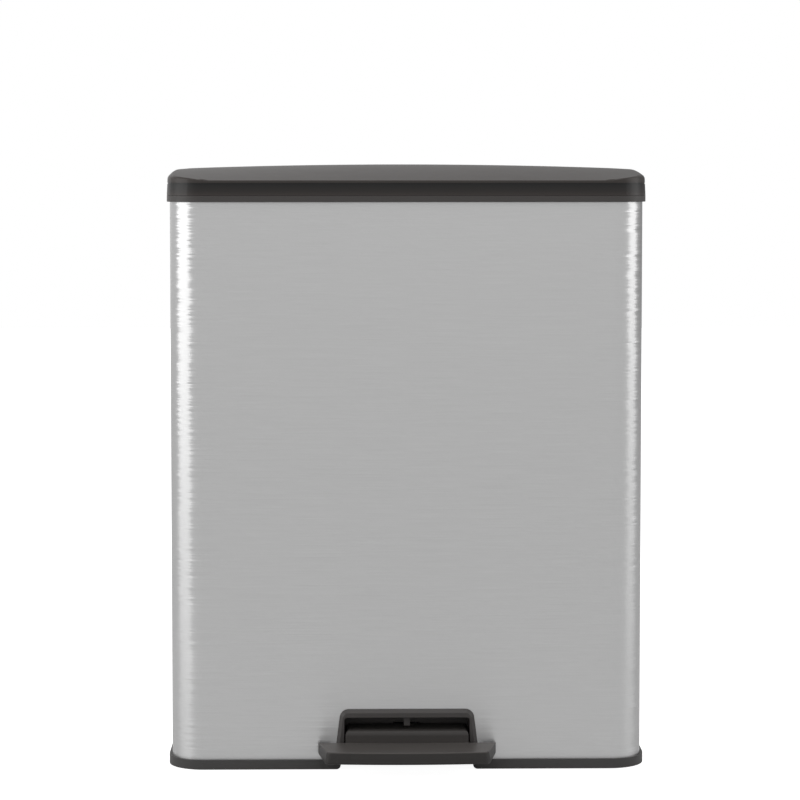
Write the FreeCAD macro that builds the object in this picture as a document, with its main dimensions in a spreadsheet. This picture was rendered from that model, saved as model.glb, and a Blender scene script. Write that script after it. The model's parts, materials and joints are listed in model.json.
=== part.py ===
"""Double recycling bin: a brushed steel sleeve on a moulded plinth, with two lift-out buckets side by side,
a soft-closing lid hinged at the rear and a pedal at the front that lifts it through a lever and a rod.

Frame: millimetres, +Z up, +X to the right of someone facing the pedal, -Y towards that person.
The origin is on the floor, in the middle of the sleeve's footprint.
"""

import FreeCAD, Part
import Sketcher
import math
import os

V = FreeCAD.Vector
doc = FreeCAD.newDocument("double_recycling_bin")
sheet = doc.addObject("Spreadsheet::Sheet", "sizes")


# ---------------------------------------------------------------- sizes and formulas

class Size:
    """A length with its number and the sheet formula that gives it."""

    def __init__(self, number, formula):
        self.number = number
        self.formula = formula

    def __add__(self, other):
        other = as_size(other)
        return Size(self.number + other.number, f"({self.formula} + {other.formula})")

    def __sub__(self, other):
        other = as_size(other)
        return Size(self.number - other.number, f"({self.formula} - {other.formula})")

    def __mul__(self, other):
        other = as_size(other)
        return Size(self.number * other.number, f"({self.formula} * {other.formula})")

    def __truediv__(self, other):
        other = as_size(other)
        return Size(self.number / other.number, f"({self.formula} / {other.formula})")

    def __neg__(self):
        return Size(-self.number, f"(0 - {self.formula})")

    def __rsub__(self, other):
        return as_size(other) - self

    __radd__ = __add__
    __rmul__ = __mul__


def as_size(value):
    return value if isinstance(value, Size) else Size(float(value), f"{value:g}")


def size(alias, number, meaning):
    """Writes one driving dimension in the sheet and returns it."""
    size.row += 1
    sheet.set(f"A{size.row}", meaning)
    sheet.set(f"B{size.row}", f"{number:g}")
    sheet.setAlias(f"B{size.row}", alias)
    return Size(float(number), f"sizes.{alias}")


size.row = 0
ZERO = as_size(0)

past = 1        # how far a cut runs past the face that it opens, and an added block into its neighbour
beyond = 20     # how far the shapes that trim the lid reach outside it
close = 0.01    # two lengths that differ by less are the same
rim_reach = 2   # edges of the lid's top that lie this near its sides are its rim

# sleeve
body_width = size("body_width", 494, "width of the steel sleeve")
body_depth = size("body_depth", 368, "depth of the steel sleeve")
corner_radius = size("corner_radius", 35, "outer corner radius of the sleeve in plan")
sheet_steel = size("sheet_steel", 0.8, "thickness of the sleeve's sheet")
edge_overhang = size("edge_overhang", 3.2, "how far plinth, collar and lid stand proud of the sleeve")
fit_gap = size("fit_gap", 0.2, "gap between the sleeve and the mouldings it sits in")
rib_wall = size("rib_wall", 2.5, "wall of the ribs and skirts that locate the sleeve")
seam_width = size("seam_width", 14, "width of the lapped seam strip up the rear")

# heights of the main pieces
plinth_bottom = size("plinth_bottom", 1, "underside of the plinth above the floor")
plinth_top = size("plinth_top", 11, "top of the plinth's outer wall")
floor_underside = size("floor_underside", 6, "underside of the plinth's floor plate")
floor_plate = size("floor_plate", 3, "thickness of the plinth's floor plate")
locating_rib = size("locating_rib", 15, "height of the rib inside the sleeve's foot")
collar_bottom = size("collar_bottom", 593, "lower edge of the collar's outer lip")
collar_height = size("collar_height", 6.5, "height of the collar's outer lip")
deck = size("deck", 3, "thickness of the collar's top deck")
skirt_drop = size("skirt_drop", 18, "how far the collar's inner skirt reaches down inside the sleeve")

# plinth
notch_half = size("notch_half", 69.2, "half width of the toe notch in the plinth's front")
notch_round = size("notch_round", 4.5, "radius of the plinth's lower corners beside the toe notch")
pad_radius = size("pad_radius", 13, "radius of a rubber foot pad")
pad_inset = size("pad_inset", 32, "distance of a foot pad's centre from the sleeve's faces")
stiffener = size("stiffener", 2, "thickness of the ribs under the floor plate")
stiffener_pitch = size("stiffener_pitch", 82, "spacing of the ribs under the floor plate")
stiffener_lift = size("stiffener_lift", 1, "height of those ribs' lower edges above the plinth's")

# pedal housing
recess_half = size("recess_half", 65.4, "half width of the pedal recess")
recess_top = size("recess_top", 55.5, "ceiling of the pedal recess")
recess_depth = size("recess_depth", 32, "depth of the pedal recess behind the sleeve's front")
housing_wall = size("housing_wall", 2, "wall of the pedal housing")
bezel_proud = size("bezel_proud", 5, "how far the bezel stands out of the sleeve")
bezel_border = size("bezel_border", 8.4, "width of the bezel above the recess")
bezel_head = size("bezel_head", 69.3, "half width of the bezel at its top")
bezel_foot = size("bezel_foot", 76, "half width of the bezel where it meets the plinth")
bezel_round = size("bezel_round", 9.5, "radius of the bezel's upper corners")
bezel_chamfer = size("bezel_chamfer", 3.4, "chamfer round the bezel's front")
tab_half = size("tab_half", 3.3, "half width of the stop tab in the recess")
tab_drop = size("tab_drop", 9.8, "how far the stop tab hangs below the recess ceiling")
tab_setback = size("tab_setback", 2, "distance of the stop tab behind the sleeve's front")
tab_thickness = size("tab_thickness", 6, "thickness of the stop tab, fore and aft")
housing_screw_place = size("housing_screw_place", 50, "sideways place of the housing's two screws")

# pedal
tread_top = size("tread_top", 30, "height of the pedal's tread")
tread_face = size("tread_face", 12.4, "height of the pedal's front face")
tread_reach = size("tread_reach", 57.4, "how far the pedal stands out of the sleeve")
tread_bow = size("tread_bow", 3.6, "bow of the pedal's front edge")
tread_gap = size("tread_gap", 2.5, "gap between the bezel and the tread")
tread_back_half = size("tread_back_half", 90.2, "half width of the tread at its back")
tread_front_half = size("tread_front_half", 92.6, "half width of the tread at its front")
tread_corner = size("tread_corner", 10, "radius of the tread's front corners in plan")
tread_wall = size("tread_wall", 3, "wall of the pedal moulding")
tread_rib = size("tread_rib", 2, "thickness of the ribs under the tread")
tread_rib_lift = size("tread_rib_lift", 1, "height of those ribs' lower edges above the tread's")
arm_side_gap = size("arm_side_gap", 1.2, "gap between the pedal's arm and the recess sides")
arm_top = size("arm_top", 43, "top of the pedal's arm, inside the recess")
arm_bottom = size("arm_bottom", 20, "lower edge of the pedal's arm")
arm_length = size("arm_length", 34, "length of the pedal's arm from the tread's back")

# pedal lever and its axle
axle_inset = size("axle_inset", 62, "distance of the pedal axle behind the sleeve's front")
axle_height = size("axle_height", 27, "height of the pedal axle")
axle_radius = size("axle_radius", 3, "radius of the pedal axle")
running_gap = size("running_gap", 0.05, "radial clearance of a pin that turns or slides in its bore")
lever_half = size("lever_half", 12, "half width of the pedal lever")
lever_wall = size("lever_wall", 2, "thickness of the lever's steel")
lever_bottom = size("lever_bottom", 18.5, "lower edge of the lever near the axle")
lever_top = size("lever_top", 33, "upper face of the lever near the axle")
lever_nose_lift = size("lever_nose_lift", 2.6,
                       "how much the lever's lower edge rises towards its front end")
lever_tail_depth = size("lever_tail_depth", 10, "height of the lever at its rear end")
lever_setback = size("lever_setback", 1, "distance of the lever's nose behind the tread's back")
pin_end = size("pin_end", 1.5, "how far a pin stands out of the part that holds it")
boss_width = size("boss_width", 8, "width of each axle boss")
boss_half_length = size("boss_half_length", 9, "half length of each axle boss")
boss_gap = size("boss_gap", 2.5, "space between the lever and an axle boss")
clip_radius = size("clip_radius", 6, "radius of the clips on the axle's ends")
clip_thickness = size("clip_thickness", 2, "thickness of the clips on the axle's ends")

# lift rod, guides and damper
rod_inset = size("rod_inset", 18, "distance of the lift rod in front of the sleeve's rear face")
rod_radius = size("rod_radius", 2.5, "radius of the lift rod and of the pins at its ends")
foot_half = size("foot_half", 6, "half width of the eye at the rod's foot")
foot_pin_height = size("foot_pin_height", 25, "height of the pin at the lever's rear end")
eye_half_depth = size("eye_half_depth", 8, "half depth of the eye at the rod's foot")
eye_above = size("eye_above", 27, "height of the foot eye's block above its pin")
eye_below = size("eye_below", 9.5, "depth of the foot eye's block below its pin")
foot_slot_run = size("foot_slot_run", 2.7, "forward play of the lever's pin in the foot eye")
foot_slot_play = size("foot_slot_play", 0.35, "vertical play of the lever's pin in the foot eye")
fork_half = size("fork_half", 8, "half width of the fork at the rod's head")
fork_gap_half = size("fork_gap_half", 4.2, "half of the opening between the fork's cheeks")
fork_half_depth = size("fork_half_depth", 6, "half depth of the fork")
fork_above = size("fork_above", 6.4, "height of the fork above its pin")
fork_throat = size("fork_throat", 12.6, "depth of the fork's opening below its pin")
fork_below = size("fork_below", 26.6, "length of the fork below its pin")
rod_socket = size("rod_socket", 11, "length of rod held in the fork and in the foot eye")
spine_half = size("spine_half", 55, "half width of the panel that carries the rod guides")
spine_wall = size("spine_wall", 2.4, "thickness of the guide panel")
guide_half = size("guide_half", 9, "half width of a rod guide")
guide_height = size("guide_height", 16, "height of a rod guide")
lower_guide = size("lower_guide", 180, "height of the lower rod guide")
upper_guide = size("upper_guide", 470, "height of the upper rod guide")
guide_front = size("guide_front", 6, "how far a guide reaches in front of the rod's axis")
guide_ear = size("guide_ear", 3, "thickness of a guide's ears")
damper_side = size("damper_side", 34, "sideways distance of the damper from the lift rod")
damper_radius = size("damper_radius", 9, "radius of the damper's cylinder")
damper_rod_radius = size("damper_rod_radius", 3, "radius of the damper's piston rod")
damper_bottom = size("damper_bottom", 320, "lower end of the damper's cylinder")
damper_length = size("damper_length", 140, "length of the damper's cylinder")
damper_floor = size("damper_floor", 8, "thickness of the damper cylinder's end")
damper_rod_start = size("damper_rod_start", 20, "height of the piston rod's foot above the cylinder's end")
link_bottom = size("link_bottom", 508, "underside of the link between damper and lift rod")
link_height = size("link_height", 12, "height of the link between damper and lift rod")
clamp_wall = size("clamp_wall", 3, "wall of the clamps round the damper")
clamp_height = size("clamp_height", 12, "height of the clamps round the damper")
screw_radius = size("screw_radius", 2, "radius of a screw's shank")
screw_head_radius = size("screw_head_radius", 4, "radius of a screw's head")
screw_head = size("screw_head", 1.6, "height of a screw's head")
screw_margin = size("screw_margin", 2, "space left round a screw's head")

# lid
parting_gap = size("parting_gap", 0.6, "gap between the closed lid's skirt and the collar")
lid_groove_height = size("lid_groove_height", 11.6,
                         "height of the shadow groove above the lid's lower edge")
lid_groove_width = size("lid_groove_width", 0.9, "width of the shadow groove")
lid_groove_depth = size("lid_groove_depth", 0.8, "depth of the shadow groove")
lid_front_edge = size("lid_front_edge", 15.3, "height of the lid's front edge above its lower edge")
lid_slope_run = size("lid_slope_run", 60, "length of the slope behind the lid's front edge")
lid_slope_rise = size("lid_slope_rise", 12.6, "rise of that slope")
lid_crest = size("lid_crest", 30.4, "height of the lid's crest above its lower edge")
lid_arch_radius = size("lid_arch_radius", 6000, "radius of the lid's arch from side to side")
lid_wall = size("lid_wall", 2.5, "wall of the lid's cover")
lid_draft = size("lid_draft", 2, "draft of the lid's sides in degrees")
lid_round = size("lid_round", 3, "radius along the top edges of the lid")
pan_gap = size("pan_gap", 0.4, "gap between the lid's cover and its inner pan")
pan_lift = size("pan_lift", 1.9, "height of the pan's underside above the cover's lower edge")
pan_wall = size("pan_wall", 2, "wall of the inner pan")
pan_rim = size("pan_rim", 9, "height of the pan's rim")
lid_boss_radius = size("lid_boss_radius", 4.5, "radius of the screw bosses in the lid")
lid_boss_side = size("lid_boss_side", 180, "sideways place of the lid's screws")
lid_boss_depth = size("lid_boss_depth", 120, "fore and aft place of the lid's screws")
lid_screw_grip = size("lid_screw_grip", 12, "length of a lid screw in its boss")
bumper_radius = size("bumper_radius", 4, "radius of a lid bumper")
bumper_inset = size("bumper_inset", 5.5, "distance of a bumper's centre inside the sleeve's sides")
bumper_spread = size("bumper_spread", 120, "fore and aft place of the bumpers")

# lid hinge and crank
hinge_behind = size("hinge_behind", 6, "distance of the hinge axis behind the sleeve's rear face")
hinge_below = size("hinge_below", 2.5, "distance of the hinge axis below the collar's top")
hinge_pin_radius = size("hinge_pin_radius", 2.5, "radius of a hinge pin")
hinge_place = size("hinge_place", 150, "sideways place of each hinge")
knuckle_half = size("knuckle_half", 9.7, "half width of a lid knuckle")
knuckle_radius = size("knuckle_radius", 5.5, "radius of a lid knuckle")
knuckle_side_gap = size("knuckle_side_gap", 0.8, "gap between a knuckle and the lugs beside it")
knuckle_web = size("knuckle_web", 2, "how far a knuckle's web reaches behind the hinge axis")
lug_width = size("lug_width", 11.5, "width of each hinge lug")
lug_radius = size("lug_radius", 5.7, "radius of each hinge lug")
sweep_gap = size("sweep_gap", 0.7, "gap round turning parts of the hinge")
crank_drop = size("crank_drop", 18.4, "height of the hinge axis above the rod's upper pin at rest")
crank_half = size("crank_half", 3, "half thickness of the lid's crank plate")
crank_slot_play = size("crank_slot_play", 1.15, "play each side of the pin in the crank's slot")
crank_slot_spare = size("crank_slot_spare", 0.5, "spare length at each end of the crank's slot")
crank_flange_half = size("crank_flange_half", 14, "half width of the crank's mounting flange")
crank_flange_reach = size("crank_flange_reach", 14, "half depth of the crank's mounting flange")
crank_flange_wall = size("crank_flange_wall", 1.8, "thickness of the crank's mounting flange")
crank_brow = size("crank_brow", 12, "reach of the crank's plate in front of the rod, at the flange")
crank_toe = size("crank_toe", 8.5, "reach of the crank's plate in front of the rod, near the pin")
crank_toe_drop = size("crank_toe_drop", 2, "depth of the crank's toe below the pin")
crank_heel = size("crank_heel", 10.5, "reach of the crank's plate behind the rod, near the pin")
crank_heel_drop = size("crank_heel_drop", 1, "depth of the crank's heel below the pin")
crank_shoulder = size("crank_shoulder", 11, "height above the pin where the crank's rear edge turns")
crank_sole = size("crank_sole", 4.2, "half length of the crank's lower edge")
crank_slot_half = size("crank_slot_half", 9.5, "half width of the collar's opening for the crank")

# buckets
rim_inset = size("rim_inset", 10.5, "distance of the buckets' rims inside the sleeve's faces")
rear_bay = size("rear_bay", 38, "depth of the bay behind the buckets for the lifting gear")
rim_split_half = size("rim_split_half", 2.5, "half of the gap between the two rims")
rim_seat = size("rim_seat", 588, "height of the ledge that carries the rims")
rim_thickness = size("rim_thickness", 3, "thickness of a bucket's rim")
rim_width = size("rim_width", 9.5, "width of a bucket's rim")
rim_clearance = size("rim_clearance", 0.5, "gap between a rim and the collar round it")
rim_corner = size("rim_corner", 28, "corner radius of a bucket's rim")
ledge_thickness = size("ledge_thickness", 3, "thickness of the collar's ledge")
bucket_bottom = size("bucket_bottom", 72, "underside of the buckets")
bucket_wall = size("bucket_wall", 2, "wall of a bucket")
bucket_draft = size("bucket_draft", 1.5, "draft of a bucket's sides in degrees")
bucket_clearance = size("bucket_clearance", 1.5, "gap between a bucket's body and the ledge")

# places that several pieces share
half_width = body_width / 2
half_depth = body_depth / 2
front = -half_depth
rear = half_depth
floor_top = floor_underside + floor_plate
collar_top = collar_bottom + collar_height
sleeve_top = collar_top - deck
lid_bottom = collar_top + parting_gap
axle_y = front + axle_inset
rod_y = rear - rod_inset
hinge_y = rear + hinge_behind
hinge_z = collar_top - hinge_below
crank_pin_z = hinge_z - crank_drop
inner_face = sheet_steel + fit_gap
spine_front = rear - inner_face - spine_wall
tread_back = front - bezel_proud - tread_gap
tread_front = front - tread_reach
arm_half = recess_half - arm_side_gap
arm_back = tread_back + arm_length
crank_reach = hinge_y - rod_y
pan_bottom = lid_bottom + pan_lift
pan_half_width = half_width + edge_overhang - lid_wall - pan_gap - fit_gap
pan_half_depth = half_depth + edge_overhang - lid_wall - pan_gap - fit_gap
boss_inner = lever_half + boss_gap
boss_outer = boss_inner + boss_width
guide_screw_side = guide_half + screw_head_radius + screw_margin


# ---------------------------------------------------------------- building tools

def bind(thing, path, length):
    thing.setExpression(path, as_size(length).formula)


def place(thing, x, y, z, rotation=None):
    thing.Placement = FreeCAD.Placement(V(0, 0, 0), rotation or FreeCAD.Rotation())
    for axis, length in zip("xyz", (x, y, z)):
        bind(thing, f"Placement.Base.{axis}", length)


ALONG = {
    "X": FreeCAD.Rotation(V(0, 1, 0), 90),
    "Y": FreeCAD.Rotation(V(1, 0, 0), -90),
    "Z": FreeCAD.Rotation(),
}


class Piece:
    """One moulded or pressed sub-part: a body whose features are added and cut in turn."""

    def __init__(self, label):
        self.body = doc.addObject("PartDesign::Body", label)
        self.body.Label = label
        self.label = label
        self.steps = 0

    def name(self, word):
        self.steps += 1
        return f"{self.label}_{word}_{self.steps}"

    def done(self):
        return self.body

    # --- boxes and cylinders between stated limits
    def box(self, way, x, y, z):
        """way is Additive or Subtractive; x, y and z are (low, high) pairs."""
        made = self.body.newObject(f"PartDesign::{way}Box", self.name("block"))
        for side, pair in zip(("Length", "Width", "Height"), (x, y, z)):
            bind(made, side, as_size(pair[1]) - pair[0])
        place(made, x[0], y[0], z[0])
        return made

    def cylinder(self, way, along, radius, start, end, across):
        """A cylinder along one axis from start to end; across is its place on the other two axes."""
        made = self.body.newObject(f"PartDesign::{way}Cylinder", self.name("round"))
        bind(made, "Radius", radius)
        bind(made, "Height", as_size(end) - start)
        at = list(across)
        at.insert("XYZ".index(along), start)
        place(made, *at, rotation=ALONG[along])
        return made

    # --- sketches
    def sketch(self, plane, offset):
        """A sketch on XY (normal +Z), XZ (normal -Y) or YZ (normal +X), moved along its normal."""
        made = self.body.newObject("Sketcher::SketchObject", self.name("sketch"))
        base = next(f for f in self.body.Origin.OriginFeatures if f.Role == f"{plane}_Plane")
        made.AttachmentSupport = [(base, "")]
        made.MapMode = "FlatFace"
        bind(made, "AttachmentOffset.Base.z", offset)
        return made

    def pad(self, drawing, length, upward=True, taper=None):
        made = self.body.newObject("PartDesign::Pad", self.name("pad"))
        made.Profile = drawing
        made.Reversed = not upward
        bind(made, "Length", length)
        if taper is not None:
            bind(made, "TaperAngle", taper)
        return made

    def pocket(self, drawing, length, upward=True, taper=None):
        made = self.body.newObject("PartDesign::Pocket", self.name("pocket"))
        made.Profile = drawing
        made.Reversed = upward
        bind(made, "Length", length)
        if taper is not None:
            bind(made, "TaperAngle", taper)
        doc.recompute()
        before = made.BaseFeature.Shape.Volume if made.BaseFeature else 0
        if made.Shape.Volume >= before:
            raise ValueError(f"{self.label}: a pocket cut nothing")
        return made

    # --- whole slabs with rounded corners
    def slab(self, x, y, z, radius, taper=None):
        flat = self.sketch("XY", z[0])
        rounded_rectangle(flat, x, y, radius)
        return self.pad(flat, as_size(z[1]) - z[0], taper=taper)

    def hollow(self, x, y, z, radius):
        flat = self.sketch("XY", z[0])
        rounded_rectangle(flat, x, y, radius)
        return self.pocket(flat, as_size(z[1]) - z[0])

    def profile(self, cut, plane, start, end, points):
        """Adds or cuts a polygon drawn on XZ (from y = end back to start) or YZ (from x = start to end)."""
        offset = start if plane == "YZ" else -as_size(end)
        flat = self.sketch(plane, offset)
        polygon(flat, points)
        length = as_size(end) - start
        return self.pocket(flat, length) if cut else self.pad(flat, length)

    # --- edge treatments
    def treat(self, kind, amount, chosen):
        """Rounds or chamfers the edges of the latest feature that chosen(edge) accepts."""
        doc.recompute()
        base = self.body.Tip
        edges = [f"Edge{i + 1}" for i, e in enumerate(base.Shape.Edges) if chosen(e)]
        if not edges:
            raise ValueError(f"{self.label}: no edges to {kind.lower()}")
        made = self.body.newObject(f"PartDesign::{kind}", self.name(kind.lower()))
        made.Base = (base, edges)
        bind(made, "Radius" if kind == "Fillet" else "Size", amount)
        doc.recompute()
        if made.Shape.isNull():
            raise ValueError(f"{self.label}: the {kind.lower()} failed")
        return made


def rounded_rectangle(flat, x, y, radius):
    """Draws a rectangle with rounded corners between the limits x and y."""
    x = [as_size(v) for v in x]
    y = [as_size(v) for v in y]
    r = as_size(radius)
    first = len(flat.Geometry)
    centres = [
        (x[1] - r, y[1] - r),
        (x[0] + r, y[1] - r),
        (x[0] + r, y[0] + r),
        (x[1] - r, y[0] + r),
    ]
    for quarter, (cx, cy) in enumerate(centres):
        circle = Part.Circle(V(cx.number, cy.number, 0), V(0, 0, 1), r.number)
        start = quarter * math.pi / 2
        flat.addGeometry(Part.ArcOfCircle(circle, start, start + math.pi / 2), False)
    for quarter in range(4):
        a = flat.Geometry[first + quarter].EndPoint
        b = flat.Geometry[first + (quarter + 1) % 4].StartPoint
        flat.addGeometry(Part.LineSegment(a, b), False)
    for quarter, (cx, cy) in enumerate(centres):
        arc = first + quarter
        side = arc + 4
        next_arc = first + (quarter + 1) % 4
        fix_point(flat, arc, 3, cx, cy)
        number = flat.addConstraint(Sketcher.Constraint("Radius", arc, r.number))
        bind(flat, f"Constraints[{number}]", r)
        flat.addConstraint(Sketcher.Constraint("Tangent", arc, 2, side, 1))
        flat.addConstraint(Sketcher.Constraint("Tangent", side, 2, next_arc, 1))


def fix_point(flat, element, point, x, y):
    for kind, length in (("DistanceX", as_size(x)), ("DistanceY", as_size(y))):
        number = flat.addConstraint(Sketcher.Constraint(kind, -1, 1, element, point, length.number))
        bind(flat, f"Constraints[{number}]", length)


def polygon(flat, points):
    points = [(as_size(a), as_size(b)) for a, b in points]
    count = len(points)
    for i in range(count):
        (a, b), (c, d) = points[i], points[(i + 1) % count]
        flat.addGeometry(Part.LineSegment(V(a.number, b.number, 0), V(c.number, d.number, 0)), False)
    for i in range(count):
        flat.addConstraint(Sketcher.Constraint("Coincident", i, 2, (i + 1) % count, 1))
    for i, (a, b) in enumerate(points):
        fix_point(flat, i, 1, a, b)


def combine(kind, label, base, tools):
    """Fuses or cuts finished shapes into one sub-part."""
    if kind == "Fuse":
        made = doc.addObject("Part::MultiFuse", label)
        made.Shapes = [base] + tools
    else:
        joined = tools[0]
        if len(tools) > 1:
            joined = doc.addObject("Part::MultiFuse", f"{label}_tools")
            joined.Shapes = tools
        made = doc.addObject("Part::Cut", label)
        made.Base = base
        made.Tool = joined
    made.Label = label
    return made


def rod(label, along, radius, start, end, across):
    made = doc.addObject("Part::Cylinder", label)
    made.Label = label
    bind(made, "Radius", radius)
    bind(made, "Height", as_size(end) - start)
    at = list(across)
    at.insert("XYZ".index(along), start)
    place(made, *at, rotation=ALONG[along])
    return made


def block(label, x, y, z):
    made = doc.addObject("Part::Box", label)
    made.Label = label
    for side, pair in zip(("Length", "Width", "Height"), (x, y, z)):
        bind(made, side, as_size(pair[1]) - pair[0])
    place(made, x[0], y[0], z[0])
    return made


def group(label, solids):
    made = doc.addObject("Part::Compound", label)
    made.Label = label
    made.Links = solids
    return made


def screw(label, along, head_from, head_to, tip, across):
    """A screw whose head lies from head_from to head_to, with a shank on to tip."""
    low, high = sorted((head_from, head_to), key=lambda v: as_size(v).number)
    head = rod(f"{label}_head", along, screw_head_radius, low, high, across)
    low, high = sorted((head_to, tip), key=lambda v: as_size(v).number)
    shank = rod(f"{label}_shank", along, screw_radius, low, high, across)
    return combine("Fuse", label, head, [shank])


def along_z(edge):
    box = edge.BoundBox
    return box.ZLength > close and box.XLength < close and box.YLength < close


# ---------------------------------------------------------------- plinth and sleeve

def make_base_plinth():
    p = Piece("base_plinth")
    o = edge_overhang
    p.slab((-half_width - o, half_width + o), (front - o, rear + o), (plinth_bottom, plinth_top),
           corner_radius + o)
    s = sheet_steel
    p.hollow((-half_width + s, half_width - s), (front + s, rear - s), (plinth_bottom, floor_underside),
             corner_radius - s)
    g = fit_gap
    p.hollow((-half_width - g, half_width + g), (front - g, rear + g), (floor_top, plinth_top),
             corner_radius + g)
    i = inner_face
    w = inner_face + rib_wall
    rib_top = floor_top + locating_rib
    p.slab((-half_width + i, half_width - i), (front + i, rear - i), (floor_top, rib_top),
           corner_radius - i)
    p.hollow((-half_width + w, half_width - w), (front + w, rear - w), (floor_top, rib_top),
             corner_radius - w)
    gate = recess_half + housing_wall + fit_gap
    p.box("Subtractive", (-gate, gate), (front + sheet_steel, front + w + past),
          (floor_top, rib_top + past))
    back = spine_half + fit_gap
    p.box("Subtractive", (-back, back), (rear - w - past, rear - sheet_steel), (floor_top, rib_top + past))
    p.box("Subtractive", (-notch_half, notch_half), (front - o - past, front + sheet_steel),
          (0, floor_underside))
    low = plinth_bottom.number
    p.treat("Fillet", notch_round, lambda e: abs(e.BoundBox.ZMax - low) < close
            and e.BoundBox.XLength < close and abs(abs(e.BoundBox.XMin) - notch_half.number) < close)
    low_rib = plinth_bottom + stiffener_lift
    for n in (-2, -1, 1, 2):
        x = stiffener_pitch * n
        p.box("Additive", (x - stiffener / 2, x + stiffener / 2), (front + s, rear - s),
              (low_rib, floor_underside))
    for n in (-1, 0, 1):
        y = stiffener_pitch * n
        p.box("Additive", (-half_width + s, half_width - s), (y - stiffener / 2, y + stiffener / 2),
              (low_rib, floor_underside))
    for side in (1, -1):
        x = sorted((boss_inner * side, boss_outer * side), key=lambda v: v.number)
        p.box("Additive", x, (axle_y - boss_half_length, axle_y + boss_half_length),
              (floor_top, axle_height + boss_half_length))
    p.cylinder("Subtractive", "X", axle_radius, -boss_outer - past, boss_outer + past,
               (axle_y, axle_height))
    for side in (1, -1):
        p.cylinder("Subtractive", "Z", screw_radius, 0, floor_top + past,
                   (housing_screw_place * side, front + recess_depth / 2))
    return p.done()


def make_foot_pads():
    pads = []
    for sx in (1, -1):
        for sy in (1, -1):
            at = (sx * (half_width - pad_inset), sy * (half_depth - pad_inset))
            pads.append(rod(f"foot_pad_{len(pads) + 1}", "Z", pad_radius, 0, floor_underside, at))
    return group("foot_pads", pads)


def make_outer_shell():
    p = Piece("outer_shell")
    s = sheet_steel
    p.slab((-half_width, half_width), (front, rear), (floor_top, sleeve_top), corner_radius)
    p.hollow((-half_width + s, half_width - s), (front + s, rear - s), (floor_top, sleeve_top),
             corner_radius - s)
    gate = recess_half + housing_wall + fit_gap
    p.box("Subtractive", (-gate, gate), (front - past, front + s + past),
          (floor_top - past, recess_top + housing_wall + fit_gap))
    return p.done()


def make_rear_seam():
    return block("rear_seam", (-seam_width / 2, seam_width / 2), (rear, rear + sheet_steel),
                 (plinth_top, collar_bottom))


# ---------------------------------------------------------------- collar

def bucket_openings(side):
    """The rim's limits in x and y for the bucket on one side (1 right, -1 left)."""
    inner = rim_split_half
    outer = half_width - rim_inset
    x = (inner, outer) if side > 0 else (-outer, -inner)
    return x, (front + rim_inset, rear - rear_bay)


def grown(pair, by):
    return (pair[0] - by, pair[1] + by)


def make_top_collar():
    p = Piece("top_collar")
    o = edge_overhang
    g = fit_gap
    p.slab((-half_width - o, half_width + o), (front - o, rear + o), (collar_bottom, collar_top),
           corner_radius + o)
    p.hollow((-half_width - g, half_width + g), (front - g, rear + g), (collar_bottom, sleeve_top),
             corner_radius + g)
    i = inner_face
    w = inner_face + rib_wall
    skirt_bottom = collar_bottom - skirt_drop
    ledge_bottom = rim_seat - ledge_thickness
    p.slab((-half_width + i, half_width - i), (front + i, rear - i), (skirt_bottom, sleeve_top),
           corner_radius - i)
    p.hollow((-half_width + w, half_width - w), (front + w, rear - w), (skirt_bottom, ledge_bottom),
             corner_radius - w)
    for side in (1, -1):
        x, y = bucket_openings(side)
        p.hollow(grown(x, rim_clearance), grown(y, rim_clearance), (rim_seat, collar_top),
                 rim_corner + rim_clearance)
        body = bucket_clearance - rim_width
        p.hollow(grown(x, body), grown(y, body), (ledge_bottom, rim_seat), rim_corner + body)
    bay_front = rear - rear_bay + rim_clearance + rib_wall
    p.box("Subtractive", (-half_width + corner_radius, half_width - corner_radius), (bay_front, rear - w),
          (ledge_bottom, sleeve_top))
    slot = crank_slot_half
    p.box("Subtractive", (-slot, slot), (bay_front, rear - w + past),
          (ledge_bottom - past, collar_top + past))
    for place_x in (hinge_place, -hinge_place):
        inner = knuckle_half + knuckle_side_gap
        outer = inner + lug_width
        for low, high in ((-outer, -inner), (inner, outer)):
            x = (place_x + low, place_x + high)
            p.box("Additive", x, (rear + g, hinge_y), (hinge_z - lug_radius, collar_top))
            p.cylinder("Additive", "X", lug_radius, x[0], x[1], (hinge_y, hinge_z))
        p.cylinder("Subtractive", "X", knuckle_radius + sweep_gap, place_x - inner, place_x + inner,
                   (hinge_y, hinge_z))
        p.cylinder("Subtractive", "X", hinge_pin_radius, place_x - outer, place_x + outer,
                   (hinge_y, hinge_z))
    return p.done()


# ---------------------------------------------------------------- pedal housing

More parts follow.
